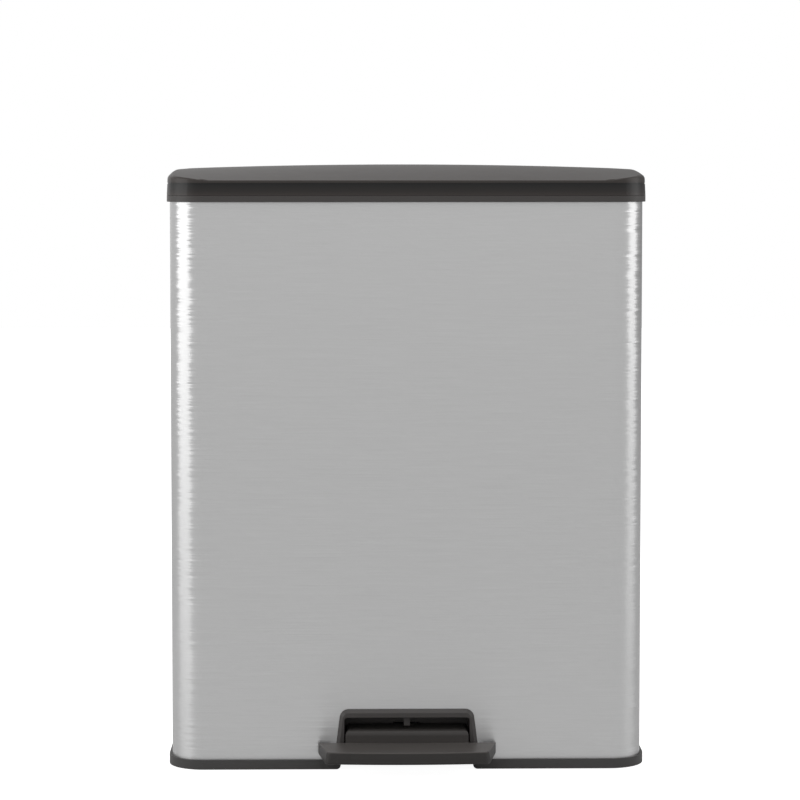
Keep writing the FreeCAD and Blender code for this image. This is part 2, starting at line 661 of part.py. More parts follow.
def make_pedal_bezel():
    p = Piece("pedal_bezel")
    top = recess_top + bezel_border
    p.profile(False, "XZ", front - bezel_proud, front, [
        (-bezel_foot, plinth_top), (bezel_foot, plinth_top), (bezel_head, top), (-bezel_head, top)])
    top_z = top.number
    p.treat("Fillet", bezel_round,
            lambda e: e.BoundBox.XLength < close and abs(e.BoundBox.ZMin - top_z) < close)
    face_y = (front - bezel_proud).number
    foot_z = plinth_top.number
    p.treat("Chamfer", bezel_chamfer, lambda e: abs(e.BoundBox.YMax - face_y) < close
            and e.BoundBox.ZMax > foot_z + close)
    outer = recess_half + housing_wall
    back = front + recess_depth
    p.box("Additive", (-outer, outer), (front, back + housing_wall), (floor_top, recess_top + housing_wall))
    p.box("Subtractive", (-recess_half, recess_half), (front - bezel_proud - past, back),
          (plinth_top, recess_top))
    slot = lever_half + boss_gap
    p.box("Subtractive", (-slot, slot), (back - past, back + housing_wall + past), (plinth_top, arm_top))
    tab_front = front + tab_setback
    p.box("Additive", (-tab_half, tab_half), (tab_front, tab_front + tab_thickness),
          (recess_top - tab_drop, recess_top + past))
    for side in (1, -1):
        p.cylinder("Subtractive", "Z", screw_radius, 0, plinth_top + past,
                   (housing_screw_place * side, front + recess_depth / 2))
    return p.done()


def make_housing_screws():
    screws = []
    for side in (1, -1):
        at = (housing_screw_place * side, front + recess_depth / 2)
        screws.append(screw(f"housing_screw_{len(screws) + 1}", "Z", plinth_top + screw_head, plinth_top,
                            plinth_bottom + past, at))
    return group("housing_screws", screws)


# ---------------------------------------------------------------- pedal and lever

def tread_outline(flat, inset):
    """The tread in plan: straight back and sides, and a front edge bowed as one arc."""
    back = tread_back - inset
    side_front = tread_front + tread_bow + inset
    half_back = tread_back_half - inset
    half_front = tread_front_half - inset
    bow = tread_bow
    radius = (half_front * half_front + bow * bow) / (bow * 2)
    nose = tread_front + inset
    centre_y = nose + radius
    a = V(half_back.number, back.number, 0)
    b = V(half_front.number, side_front.number, 0)
    left_a = V(-a.x, a.y, 0)
    left_b = V(-b.x, b.y, 0)
    flat.addGeometry(Part.LineSegment(b, a), False)
    flat.addGeometry(Part.LineSegment(a, left_a), False)
    flat.addGeometry(Part.LineSegment(left_a, left_b), False)
    flat.addGeometry(Part.Arc(left_b, V(0, nose.number, 0), b), False)
    for i in range(2):
        flat.addConstraint(Sketcher.Constraint("Coincident", i, 2, i + past, 1))
    arc = flat.Geometry[3]
    starts_left = arc.StartPoint.x < 0
    flat.addConstraint(Sketcher.Constraint("Coincident", 2, 2, 3, 1 if starts_left else 2))
    flat.addConstraint(Sketcher.Constraint("Coincident", 0, 1, 3, 2 if starts_left else 1))
    fix_point(flat, 0, 1, half_front, side_front)
    fix_point(flat, 0, 2, half_back, back)
    fix_point(flat, 2, 1, -half_back, back)
    fix_point(flat, 2, 2, -half_front, side_front)
    number = flat.addConstraint(Sketcher.Constraint("DistanceY", -1, 1, 3, 3, centre_y.number))
    bind(flat, f"Constraints[{number}]", centre_y)


def make_pedal_tread():
    p = Piece("pedal_tread")
    low = tread_top - tread_face
    plan = p.sketch("XY", low)
    tread_outline(plan, ZERO)
    p.pad(plan, tread_face)
    corner_y = (tread_front + tread_bow).number
    p.treat("Fillet", tread_corner, lambda e: along_z(e) and abs(e.BoundBox.YMin - corner_y) < close)
    core = p.sketch("XY", low)
    tread_outline(core, tread_wall)
    p.pocket(core, tread_face - tread_wall)
    p.box("Additive", (-arm_half, arm_half), (tread_back - tread_wall, arm_back), (arm_bottom, arm_top))
    w = tread_wall
    p.box("Subtractive", (-arm_half + w, arm_half - w), (tread_back, arm_back + past),
          (arm_bottom - past, arm_top - w))
    for n in (-3, -1, 1, 3):
        x = n * arm_half / 4
        p.box("Additive", (x - tread_rib / 2, x + tread_rib / 2),
              (tread_front + tread_bow + w, tread_back - w / 2), (low + tread_rib_lift, tread_top - w))
    for y in screw_places():
        p.cylinder("Additive", "Z", screw_head_radius, lever_top, arm_top - w / 2, (ZERO, y))
        p.cylinder("Subtractive", "Z", screw_radius, lever_top - past, arm_top - w, (ZERO, y))
    return p.done()


def screw_places():
    """The two screws that hold the pedal on its lever."""
    return (tread_back + arm_length / 4, tread_back + arm_length * 3 / 4)


def make_pedal_lever():
    p = Piece("pedal_lever")
    w = lever_wall
    tail = rod_y + eye_half_depth / 2 + rod_radius
    tail_bottom = foot_pin_height - lever_tail_depth / 2
    tail_top = foot_pin_height + lever_tail_depth / 2
    nose = tread_back + lever_setback
    heel = axle_y + boss_half_length * 2
    p.profile(False, "YZ", -lever_half, lever_half, [
        (nose, lever_bottom + lever_nose_lift), (axle_y, lever_bottom), (heel, lever_bottom),
        (tail, tail_bottom), (tail, tail_top),
        (heel, lever_top), (nose, lever_top)])
    p.profile(True, "YZ", w - lever_half, lever_half - w, [
        (nose - past, lever_bottom - past), (tail + past, lever_bottom - past), (tail + past, tail_top - w),
        (heel, lever_top - w), (nose - past, lever_top - w)])
    window = rod_y - eye_half_depth * 2
    p.box("Subtractive", (w - lever_half, lever_half - w), (window, tail + past),
          (tail_bottom - past, lever_top))
    p.cylinder("Subtractive", "X", axle_radius + running_gap, -lever_half - past, lever_half + past,
               (axle_y, axle_height))
    p.cylinder("Subtractive", "X", rod_radius, -lever_half - past, lever_half + past,
               (rod_y, foot_pin_height))
    for y in screw_places():
        p.cylinder("Subtractive", "Z", screw_radius, lever_top - w - past, lever_top + past, (ZERO, y))
    return p.done()


def make_pedal_screws():
    under = lever_top - lever_wall
    tip = arm_top - tread_wall
    screws = [screw(f"pedal_screw_{n + 1}", "Z", under - screw_head, under, tip, (ZERO, y))
              for n, y in enumerate(screw_places())]
    return group("pedal_screws", screws)


def make_lever_pin():
    reach = lever_half + pin_end
    return rod("lever_pin", "X", rod_radius, -reach, reach, (rod_y, foot_pin_height))


def make_pedal_axle():
    reach = boss_outer + clip_thickness + pin_end
    return rod("pedal_axle", "X", axle_radius, -reach, reach, (axle_y, axle_height))


def make_axle_clips():
    clips = []
    for side in (1, -1):
        ends = sorted((boss_outer * side, (boss_outer + clip_thickness) * side), key=lambda v: v.number)
        disc = rod(f"axle_clip_disc_{len(clips) + 1}", "X", clip_radius, *ends, (axle_y, axle_height))
        bore = rod(f"axle_clip_bore_{len(clips) + 1}", "X", axle_radius, *ends, (axle_y, axle_height))
        clips.append(combine("Cut", f"axle_clip_{len(clips) + 1}", disc, [bore]))
    return group("axle_clips", clips)


# ---------------------------------------------------------------- lift rod, guides and damper

def make_lift_rod():
    low = foot_pin_height + eye_above - rod_socket
    high = crank_pin_z - fork_below + rod_socket
    return rod("lift_rod", "Z", rod_radius, low, high, (ZERO, rod_y))


def make_rod_foot():
    p = Piece("rod_foot")
    z = foot_pin_height
    p.box("Additive", (-foot_half, foot_half), (rod_y - eye_half_depth, rod_y + eye_half_depth),
          (z - eye_below, z + eye_above))
    r = rod_radius + foot_slot_play
    forward = rod_y - foot_slot_run
    for y in (forward, rod_y + foot_slot_play):
        p.cylinder("Subtractive", "X", r, -foot_half - past, foot_half + past, (y, z))
    p.box("Subtractive", (-foot_half - past, foot_half + past), (forward, rod_y + foot_slot_play),
          (z - r, z + r))
    p.cylinder("Subtractive", "Z", rod_radius, z + eye_above - rod_socket, z + eye_above + past,
               (ZERO, rod_y))
    return p.done()


def make_rod_head():
    p = Piece("rod_head")
    z = crank_pin_z
    p.box("Additive", (-fork_half, fork_half), (rod_y - fork_half_depth, rod_y + fork_half_depth),
          (z - fork_below, z + fork_above))
    p.box("Subtractive", (-fork_gap_half, fork_gap_half),
          (rod_y - fork_half_depth - past, rod_y + fork_half_depth + past),
          (z - fork_throat, z + fork_above + past))
    p.cylinder("Subtractive", "Z", rod_radius, z - fork_below - past, z - fork_below + rod_socket,
               (ZERO, rod_y))
    p.cylinder("Subtractive", "X", rod_radius, -fork_half - past, fork_half + past, (rod_y, z))
    return p.done()


def make_crank_pin():
    return rod("crank_pin", "X", rod_radius, -fork_half, fork_half, (rod_y, crank_pin_z))


def make_rear_spine():
    p = Piece("rear_spine")
    top = rim_seat - ledge_thickness - skirt_drop
    p.box("Additive", (-spine_half, spine_half), (spine_front, rear - inner_face), (floor_top, top))
    for z in (lower_guide, upper_guide):
        for side in (1, -1):
            at = (side * guide_screw_side, z + guide_height / 2)
            p.cylinder("Subtractive", "Y", screw_radius, spine_front - past, rear, at)
    return p.done()


def make_rod_guides():
    guides = []
    for z in (lower_guide, upper_guide):
        p = Piece(f"rod_guide_{len(guides) + 1}")
        ear = guide_screw_side + screw_head_radius + screw_margin
        p.box("Additive", (-guide_half, guide_half), (rod_y - guide_front, spine_front),
              (z, z + guide_height))
        p.box("Additive", (-ear, ear), (spine_front - guide_ear, spine_front), (z, z + guide_height))
        p.cylinder("Subtractive", "Z", rod_radius + running_gap, z - past, z + guide_height + past,
                   (ZERO, rod_y))
        for side in (1, -1):
            at = (side * guide_screw_side, z + guide_height / 2)
            p.cylinder("Subtractive", "Y", screw_radius, spine_front - guide_ear - past,
                       spine_front + past, at)
        guides.append(p.done())
    return group("rod_guides", guides)


def make_guide_screws():
    screws = []
    for z in (lower_guide, upper_guide):
        for side in (1, -1):
            at = (side * guide_screw_side, z + guide_height / 2)
            face = spine_front - guide_ear
            screws.append(screw(f"guide_screw_{len(screws) + 1}", "Y", face - screw_head, face,
                                rear - inner_face, at))
    return group("guide_screws", screws)


def make_damper_cylinder():
    p = Piece("damper_cylinder")
    at = (damper_side, rod_y)
    top = damper_bottom + damper_length
    p.cylinder("Additive", "Z", damper_radius, damper_bottom, top, at)
    p.cylinder("Subtractive", "Z", damper_rod_radius + running_gap, damper_bottom + damper_floor,
               top + past, at)
    return p.done()


def make_damper_rod():
    return rod("damper_rod", "Z", damper_rod_radius, damper_bottom + damper_rod_start,
               link_bottom + link_height,
               (damper_side, rod_y))


def make_damper_link():
    p = Piece("damper_link")
    depth = damper_rod_radius * 2
    end = damper_side + depth
    p.box("Additive", (-fork_half, end), (rod_y - depth, rod_y + depth),
          (link_bottom, link_bottom + link_height))
    for x, r in ((ZERO, rod_radius), (damper_side, damper_rod_radius)):
        p.cylinder("Subtractive", "Z", r, link_bottom - past, link_bottom + link_height + past, (x, rod_y))
    return p.done()


def make_damper_clamps():
    clamps = []
    margin = clamp_wall * 2
    for z in (damper_bottom + margin, damper_bottom + damper_length - margin - clamp_height):
        p = Piece(f"damper_clamp_{len(clamps) + 1}")
        half = damper_radius + clamp_wall
        p.box("Additive", (damper_side - half, damper_side + half), (rod_y, spine_front),
              (z, z + clamp_height))
        p.cylinder("Subtractive", "Z", damper_radius, z - past, z + clamp_height + past,
                   (damper_side, rod_y))
        clamps.append(p.done())
    return group("damper_clamps", clamps)


# ---------------------------------------------------------------- lid

def lid_form(label, inset, bottom):
    """The lid's outside form, or with an inset its inside form: drafted sides, arched top, sloped front."""
    p = Piece(label)
    o = edge_overhang - inset
    crest = lid_bottom + lid_crest - inset
    p.slab((-half_width - o, half_width + o), (front - o, rear + o), (bottom, crest + past),
           corner_radius + o,
           taper=-lid_draft)
    reach = body_width
    flat = p.sketch("XZ", front - beyond)
    centre_z = crest - lid_arch_radius
    angle = math.asin((reach / lid_arch_radius).number)
    circle = Part.Circle(V(0, centre_z.number, 0), V(0, 0, 1), lid_arch_radius.number)
    flat.addGeometry(Part.ArcOfCircle(circle, math.pi / 2 - angle, math.pi / 2 + angle), False)
    right = flat.Geometry[0].StartPoint
    left = flat.Geometry[0].EndPoint
    high = crest + beyond
    flat.addGeometry(Part.LineSegment(left, V(left.x, high.number, 0)), False)
    flat.addGeometry(Part.LineSegment(V(left.x, high.number, 0), V(right.x, high.number, 0)), False)
    flat.addGeometry(Part.LineSegment(V(right.x, high.number, 0), right), False)
    for one, two in ((0, 1), (1, 2), (2, 3)):
        flat.addConstraint(Sketcher.Constraint("Coincident", one, 2, two, 1))
    flat.addConstraint(Sketcher.Constraint("Coincident", 3, 2, 0, 1))
    fix_point(flat, 0, 3, ZERO, centre_z)
    number = flat.addConstraint(Sketcher.Constraint("Radius", 0, lid_arch_radius.number))
    bind(flat, f"Constraints[{number}]", lid_arch_radius)
    fix_point(flat, 1, 2, -reach, high)
    fix_point(flat, 2, 2, reach, high)
    flat.addConstraint(Sketcher.Constraint("Vertical", 1))
    flat.addConstraint(Sketcher.Constraint("Vertical", 3))
    p.pocket(flat, body_depth + beyond * 2)
    edge_y = front - edge_overhang
    edge_z = lid_bottom + lid_front_edge - inset
    slope_end = edge_y + lid_slope_run
    slope_z = edge_z + lid_slope_rise
    run_out = slope_end + lid_slope_run * 2
    back = lid_slope_run
    down = lid_slope_rise
    p.profile(True, "YZ", -reach, reach, [
        (edge_y - back, edge_z - down), (slope_end, slope_z), (run_out, crest + past), (run_out, high),
        (edge_y - back, high)])
    return p


def make_lid_cover():
    outer = lid_form("lid_outer_form", ZERO, lid_bottom)
    low = lid_bottom.number
    limit = (lid_bottom + lid_front_edge).number - rim_reach
    outer.treat("Fillet", lid_round, lambda e: e.BoundBox.ZMin > limit and on_rim(e))
    o = edge_overhang
    groove = outer.sketch("XY", lid_bottom + lid_groove_height)
    outside = o + beyond
    rounded_rectangle(groove, (-half_width - outside, half_width + outside),
                      (front - outside, rear + outside),
                      corner_radius + outside)
    inset = o - lid_groove_depth
    rounded_rectangle(groove, (-half_width - inset, half_width + inset), (front - inset, rear + inset),
                      corner_radius + inset)
    outer.pocket(groove, lid_groove_width)
    inner = lid_form("lid_inner_form", lid_wall, lid_bottom - past)
    shell = combine("Cut", "lid_cover_shell", outer.done(), [inner.done()])
    added = []
    cut = []
    for n, (sx, sy) in enumerate(((1, 1), (1, -1), (-1, 1), (-1, -1))):
        at = (lid_boss_side * sx, lid_boss_depth * sy)
        top = lid_bottom + lid_crest - lid_wall / 2 - lid_boss_side * lid_boss_side / (lid_arch_radius * 2)
        added.append(rod(f"lid_boss_{n + 1}", "Z", lid_boss_radius, pan_bottom + pan_wall, top, at))
        cut.append(rod(f"lid_boss_bore_{n + 1}", "Z", screw_radius, pan_bottom, screw_tip_in_lid(), at))
    lug_space = lug_radius + sweep_gap
    for n, place_x in enumerate((hinge_place, -hinge_place)):
        inner_x = knuckle_half + knuckle_side_gap
        outer_x = inner_x + lug_width + knuckle_side_gap
        cut.append(rod(f"lug_space_{n + 1}", "X", lug_space, place_x - outer_x, place_x + outer_x,
                       (hinge_y, hinge_z)))
    opened = combine("Cut", "lid_cover_opened", combine("Fuse", "lid_cover_bossed", shell, added), cut)
    knuckles = []
    bores = []
    for n, place_x in enumerate((hinge_place, -hinge_place)):
        x = (place_x - knuckle_half, place_x + knuckle_half)
        knuckles.append(rod(f"knuckle_{n + 1}", "X", knuckle_radius, *x, (hinge_y, hinge_z)))
        web_top = hinge_z + lug_space + lid_wall
        knuckles.append(block(f"knuckle_web_{n + 1}", x,
                              (rear + edge_overhang - lid_wall, hinge_y + knuckle_web),
                              (lid_bottom, web_top)))
        bores.append(rod(f"knuckle_bore_{n + 1}", "X", hinge_pin_radius + running_gap,
                         place_x - knuckle_half - past, place_x + knuckle_half + past, (hinge_y, hinge_z)))
    whole = combine("Fuse", "lid_cover_hinged", opened, knuckles)
    return combine("Cut", "lid_cover", whole, bores)


def screw_tip_in_lid():
    return pan_bottom + pan_wall + lid_screw_grip


def on_rim(edge):
    """True on the outline of the lid's top: long edges whose middle lies close to the lid's sides."""
    box = edge.BoundBox
    if box.XLength < past and box.YLength < past:
        return False
    middle = edge.valueAt((edge.FirstParameter + edge.LastParameter) / 2)
    half_w = half_width.number + edge_overhang.number
    half_d = half_depth.number + edge_overhang.number
    r = corner_radius.number + edge_overhang.number
    dx = abs(middle.x) - (half_w - r)
    dy = abs(middle.y) - (half_d - r)
    distance = math.hypot(max(dx, 0), max(dy, 0)) if dx > 0 or dy > 0 else 0
    return r - distance < rim_reach


def make_lid_pan():
    p = Piece("lid_pan")
    w, d = pan_half_width, pan_half_depth
    r = corner_radius + edge_overhang - lid_wall - pan_gap - fit_gap
    p.slab((-w, w), (-d, d), (pan_bottom, pan_bottom + pan_rim), r, taper=-lid_draft)
    t = pan_wall
    p.hollow((t - w, w - t), (t - d, d - t), (pan_bottom + t, pan_bottom + pan_rim), r - t)
    for sx, sy in ((1, 1), (1, -1), (-1, 1), (-1, -1)):
        p.cylinder("Subtractive", "Z", screw_radius, pan_bottom - past, pan_bottom + pan_wall + past,
                   (lid_boss_side * sx, lid_boss_depth * sy))
    for side in (1, -1):
        p.cylinder("Subtractive", "Z", screw_radius, pan_bottom - past, pan_bottom + pan_wall + past,
                   (crank_screw_x() * side, rod_y))
    return p.done()


def crank_screw_x():
    return (crank_half + crank_flange_half) / 2


def make_lid_screws():
    screws = []
    for sx, sy in ((1, 1), (1, -1), (-1, 1), (-1, -1)):
        at = (lid_boss_side * sx, lid_boss_depth * sy)
        screws.append(screw(f"lid_screw_{len(screws) + 1}", "Z", pan_bottom - screw_head, pan_bottom,
                            screw_tip_in_lid(), at))
    return group("lid_screws", screws)


def make_crank_screws():
    screws = []
    top = pan_bottom + pan_wall
    for side in (1, -1):
        at = (crank_screw_x() * side, rod_y)
        screws.append(screw(f"crank_screw_{len(screws) + 1}", "Z", top + screw_head, top,
                            pan_bottom - crank_flange_wall, at))
    return group("crank_screws", screws)


def make_lid_crank():
    p = Piece("lid_crank")
    y, z = hinge_y, hinge_z
    flange_bottom = pan_bottom - crank_flange_wall
    slot_radius = rod_radius + crank_slot_play
    border = slot_radius + rod_radius
    flange_back = rod_y + crank_flange_reach
    sole = crank_pin_z - border
    p.box("Additive", (-crank_flange_half, crank_flange_half), (rod_y - crank_flange_reach, flange_back),
          (flange_bottom, pan_bottom))
    p.profile(False, "YZ", -crank_half, crank_half, [
        (rod_y - crank_brow, flange_bottom + past), (flange_back, flange_bottom + past),
        (flange_back, crank_pin_z + crank_shoulder), (rod_y + crank_heel, crank_pin_z - crank_heel_drop),
        (rod_y + crank_sole, sole), (rod_y - crank_sole, sole),
        (rod_y - crank_toe, crank_pin_z - crank_toe_drop)])
    reach = math.hypot(crank_reach.number, crank_drop.number)
    along_y = -crank_reach / reach
    along_up = -crank_drop / reach
    near = crank_reach - crank_slot_spare
    far = as_size(reach) + crank_slot_spare
    ends = [(y + along_y * near, z + along_up * near), (y + along_y * far, z + along_up * far)]
    for at in ends:
        p.cylinder("Subtractive", "X", slot_radius, -crank_half - past, crank_half + past, at)
    side_y = along_up * slot_radius
    side_z = -along_y * slot_radius
    (a, b), (c, d) = ends
    p.profile(True, "YZ", -crank_half - past, crank_half + past, [
        (a + side_y, b + side_z), (c + side_y, d + side_z), (c - side_y, d - side_z), (a - side_y,
                                                                                       b - side_z)])
    for side in (1, -1):
        p.cylinder("Subtractive", "Z", screw_radius, flange_bottom - past, pan_bottom + past,
                   (crank_screw_x() * side, rod_y))
    return p.done()


def make_lid_bumpers():
    bumpers = []
    for sx, sy in ((1, 1), (1, -1), (-1, 1), (-1, -1)):
        at = (sx * (half_width - bumper_inset), bumper_spread * sy)
        bumpers.append(rod(f"lid_bumper_{len(bumpers) + 1}", "Z", bumper_radius, collar_top, pan_bottom,
                           at))
    return group("lid_bumpers", bumpers)


def make_hinge_pins():
    pins = []
    reach = knuckle_half + knuckle_side_gap + lug_width
    for n, place_x in enumerate((hinge_place, -hinge_place)):
        pins.append(rod(f"hinge_pin_{n + 1}", "X", hinge_pin_radius, place_x - reach, place_x + reach,
                        (hinge_y, hinge_z)))
    return group("hinge_pins", pins)


# ---------------------------------------------------------------- buckets

def make_bucket(label, side):
    p = Piece(label)
    x, y = bucket_openings(side)
    top = rim_seat + rim_thickness
    body_x, body_y = grown(x, -rim_width), grown(y, -rim_width)
    outside = p.sketch("XY", rim_seat)
    rounded_rectangle(outside, body_x, body_y, rim_corner - rim_width)
    p.pad(outside, rim_seat - bucket_bottom, upward=False, taper=-bucket_draft)
    p.slab(x, y, (rim_seat, top), rim_corner)
    inside = p.sketch("XY", top)
    inner = rim_width + bucket_wall
    rounded_rectangle(inside, grown(x, -inner), grown(y, -inner), rim_corner - inner)
    p.pocket(inside, top - bucket_bottom - bucket_wall, upward=False, taper=-bucket_draft)
    return p.done()


# ---------------------------------------------------------------- assembly

NODES = [
    make_base_plinth(), make_foot_pads(), make_outer_shell(), make_rear_seam(), make_top_collar(),
    make_pedal_bezel(), make_housing_screws(), make_pedal_tread(), make_pedal_lever(), make_pedal_screws(),
    make_lever_pin(), make_pedal_axle(), make_axle_clips(), make_lift_rod(), make_rod_foot(),
    make_rod_head(),
    make_crank_pin(), make_rear_spine(), make_rod_guides(), make_guide_screws(), make_damper_cylinder(),
    make_damper_rod(), make_damper_link(), make_damper_clamps(), make_lid_cover(), make_lid_pan(),
    make_lid_screws(), make_crank_screws(), make_lid_crank(), make_lid_bumpers(), make_hinge_pins(),
    make_bucket("bucket_right", 1), make_bucket("bucket_left", -1),
]

doc.recompute()
for thing in doc.Objects:
    if "Invalid" in thing.State or "Error" in thing.State:
        raise ValueError(f"{thing.Label} failed: {thing.State}")
os.makedirs("parts", exist_ok=True)
for node in NODES:
    if node.Shape.isNull() or not node.Shape.isValid():
        raise ValueError(f"{node.Label} has no valid shape")
for node in NODES:
    node.Shape.exportStep(f"parts/{node.Label}.step")
    box = node.Shape.BoundBox
    print(f"{node.Label}: {len(node.Shape.Solids)} solid(s), {node.Shape.Volume / 1000:.1f} cm3, "
          f"z {box.ZMin:.1f} to {box.ZMax:.1f}")
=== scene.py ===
"""The looks of a double recycling bin: a brushed steel sleeve between a dark moulded lid and plinth,
a pedal at the front, and two buckets with the lifting gear inside.

Metres, +Z up, -Y towards the person at the pedal; the origin is on the floor under the sleeve's middle.
"""

import json
import math

import bpy
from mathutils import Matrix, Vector


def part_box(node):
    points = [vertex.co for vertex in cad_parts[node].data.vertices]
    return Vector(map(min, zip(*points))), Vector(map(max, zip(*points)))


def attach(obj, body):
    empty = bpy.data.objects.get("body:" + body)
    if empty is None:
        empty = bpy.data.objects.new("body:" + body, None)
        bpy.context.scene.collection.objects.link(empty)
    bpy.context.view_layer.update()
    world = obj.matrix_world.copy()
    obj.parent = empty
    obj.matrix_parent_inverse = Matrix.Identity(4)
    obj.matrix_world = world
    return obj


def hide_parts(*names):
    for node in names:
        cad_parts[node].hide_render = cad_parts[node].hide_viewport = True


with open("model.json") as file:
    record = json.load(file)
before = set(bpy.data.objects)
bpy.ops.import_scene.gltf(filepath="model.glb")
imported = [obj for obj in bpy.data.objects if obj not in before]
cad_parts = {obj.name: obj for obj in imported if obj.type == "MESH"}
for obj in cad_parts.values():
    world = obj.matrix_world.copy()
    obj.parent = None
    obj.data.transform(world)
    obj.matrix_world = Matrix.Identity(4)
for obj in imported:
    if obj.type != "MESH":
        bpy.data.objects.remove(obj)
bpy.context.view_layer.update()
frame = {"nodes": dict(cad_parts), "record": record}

MM = 0.001
NEAR = 0.02 * MM        # two places this close are the same
SHARP_ANGLE = math.radians(32)      # a sharper edge stays a crease in the shading
EDGE_ANGLE = math.radians(38)       # a sharper edge of a CAD node's copy is rounded
FLAT_ANGLE = math.radians(0.6)      # faces that turn less than this are joined into one

# sleeve
SLEEVE_LOW, SLEEVE_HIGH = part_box("outer_shell")
SLEEVE_CORNER = 35 * MM
SHEET_STEEL = 0.8 * MM
GATE_HALF = 67.6 * MM
GATE_TOP = 57.7 * MM

# lid
LID_HALF_X = -SLEEVE_LOW.x + 3.2 * MM
LID_HALF_Y = -SLEEVE_LOW.y + 3.2 * MM
LID_CORNER = SLEEVE_CORNER + 3.2 * MM
LID_BOTTOM = 599.75 * MM
LID_RIM = 626 * MM
LID_CREST = 630.5 * MM
LID_FRONT_EDGE = 615.4 * MM
LID_WALL = 2.5 * MM
LID_DRAFT = 1 * MM
LID_SLOPE = 135 * MM
LID_ROUND = 6 * MM
FRONT_ROUND_SHARE = 0.22
GROOVE_LOW = 611.6 * MM
GROOVE_HIGH = 612.6 * MM
GROOVE_DEPTH = 0.6 * MM
GRID_STEP = 22 * MM

# edge rounding of the pieces that are copies of their CAD nodes
SOFT_EDGES = {
    "top_collar": 0.6 * MM, "base_plinth": 0.45 * MM, "rear_seam": 0.25 * MM, "foot_pads": 0.6 * MM,
    "bucket_left": 0.8 * MM, "bucket_right": 0.8 * MM, "lid_pan": 0.6 * MM,
}
BEZEL_CORNER_ROUND = 3 * MM
BEZEL_CORNER_FROM = 50 * MM         # the recess's upper corners lie above this
BEZEL_CORNER_DEPTH = 10 * MM        # and run back further than this
BEZEL_EDGE_SHARE = 0.16             # how much of that rounding the bezel's other edges get

# hinge
HINGE_X = 150 * MM
HINGE_Y = 190 * MM
HINGE_Z = 597 * MM
KNUCKLE_HALF = 9.7 * MM
KNUCKLE_RADIUS = 5.5 * MM
PIN_RADIUS = 2.55 * MM
LUG_SPACE_RADIUS = 6.4 * MM
LUG_SPACE_HALF = 22.8 * MM
WEB_PAST_AXIS = 2 * MM
WEB_HEIGHT = 6 * MM

# pedal
TREAD_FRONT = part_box("pedal_tread")[0].y
TREAD_TOP = 30 * MM
TREAD_BACK = -191.5 * MM
TREAD_BOTTOM = 17 * MM
TREAD_HALF = 92.5 * MM
TREAD_TOP_BACK_HALF = 90.4 * MM
TREAD_TOP_FRONT_HALF = 82.4 * MM
TREAD_SIDE_LEAN = 0.2
TREAD_LEAN_MOST = 8 * MM            # an end's front edge moves sideways by less than this
TREAD_BOW = 3.6 * MM
TREAD_CUTS_EACH_SIDE = 6
TREAD_CUT_STEP = 12 * MM
TREAD_CORNER = 5 * MM
TREAD_LOWER_ROUND = 2.6 * MM
TREAD_UPPER_ROUND = 1.1 * MM
TREAD_WALL = 3 * MM
ARM_HALF = 64.2 * MM
ARM_TOP = 43 * MM
ARM_BOTTOM = 20 * MM
ARM_BACK = TREAD_BACK + 34 * MM
ARM_OVERLAP = 0.4 * MM              # how far the arm reaches into the tread
ARM_ROUND = 6 * MM

# camera, at the photograph's viewing angle: degrees down and round, lens in millimetres
CAMERA_PLACE = (-0.0528, -2.978, 0.642)
CAMERA_PITCH = 3.518
CAMERA_YAW = -0.934
CAMERA_LENS = 121.66
CAMERA_SHIFT = -0.0991

# world: its strength for plain surfaces, in reflections, and in reflections towards one dimmer side
WORLD_LIGHT = 0.5
WORLD_GLOSS = 0.90
WORLD_GLOSS_ASIDE = 0.30
ASIDE = (0.5, 0.86, 0)
ASIDE_FROM = 0.6                    # how far a direction agrees with that side where it starts to dim
ASIDE_FULL = 0.95

# floor: its own white as the camera sees it, and in reflections
FLOOR_SIZE = 14
FLOOR_BELOW = 0.1 * MM
FLOOR_GLOW = 0.95
FLOOR_GLOSS = 0.06

# soft lamps: place, aim, width and height in metres, watts
SOFTBOXES = {
    "left_softbox": ((-1.87, -0.70, 0.98), (0, 0, 0.9), 1.65, 1.60, 12.4),
    "right_softbox": ((1.98, -0.28, 1.1), (0, 0, 1.0), 1.18, 1.45, 7.2),
    "top_softbox": ((0, -0.6, 2.3), (0, 0, 0.6), 1.6, 1.2, 6),
}


# ---------------------------------------------------------------- modelling steps

def alone(obj):
    """Makes obj the only selected object, and the active one."""
    bpy.ops.object.select_all(action="DESELECT")
    obj.select_set(True)
    bpy.context.view_layer.objects.active = obj


def named(name):
    """Names the object that was just added and applies its place to its mesh."""
    obj = bpy.context.object
    obj.name = name
    obj.data.name = name
    bpy.ops.object.transform_apply(location=True, rotation=True, scale=True)
    return obj


def start_block(name, low, high):
    """A cube primitive that fills the space between two corners."""
    bpy.ops.object.select_all(action="DESELECT")
    low, high = Vector(low), Vector(high)
    bpy.ops.mesh.primitive_cube_add(size=1, location=(low + high) / 2, scale=high - low)
    return named(name)


def start_round(name, radius, depth, middle, along="Z", vertices=48):
    """A cylinder primitive round a middle point, along one axis."""
    turn = {"X": (0, math.pi / 2, 0), "Y": (math.pi / 2, 0, 0), "Z": (0, 0, 0)}[along]
    bpy.ops.object.select_all(action="DESELECT")
    bpy.ops.mesh.primitive_cylinder_add(vertices=vertices, radius=radius, depth=depth, location=middle,
                                        rotation=turn)
    return named(name)


def choose(obj, kind, chosen):
    """Opens obj in edit mode, with only the vertices, edges or faces selected that chosen accepts."""
    alone(obj)
    bpy.ops.object.mode_set(mode="EDIT")
    bpy.ops.mesh.select_mode(type=kind)
    bpy.ops.mesh.select_all(action="DESELECT")
    bpy.ops.object.mode_set(mode="OBJECT")
    mesh = obj.data
    items = {"VERT": mesh.vertices, "EDGE": mesh.edges, "FACE": mesh.polygons}[kind]
    for item in items:
        item.select = chosen(item)
    bpy.ops.object.mode_set(mode="EDIT")


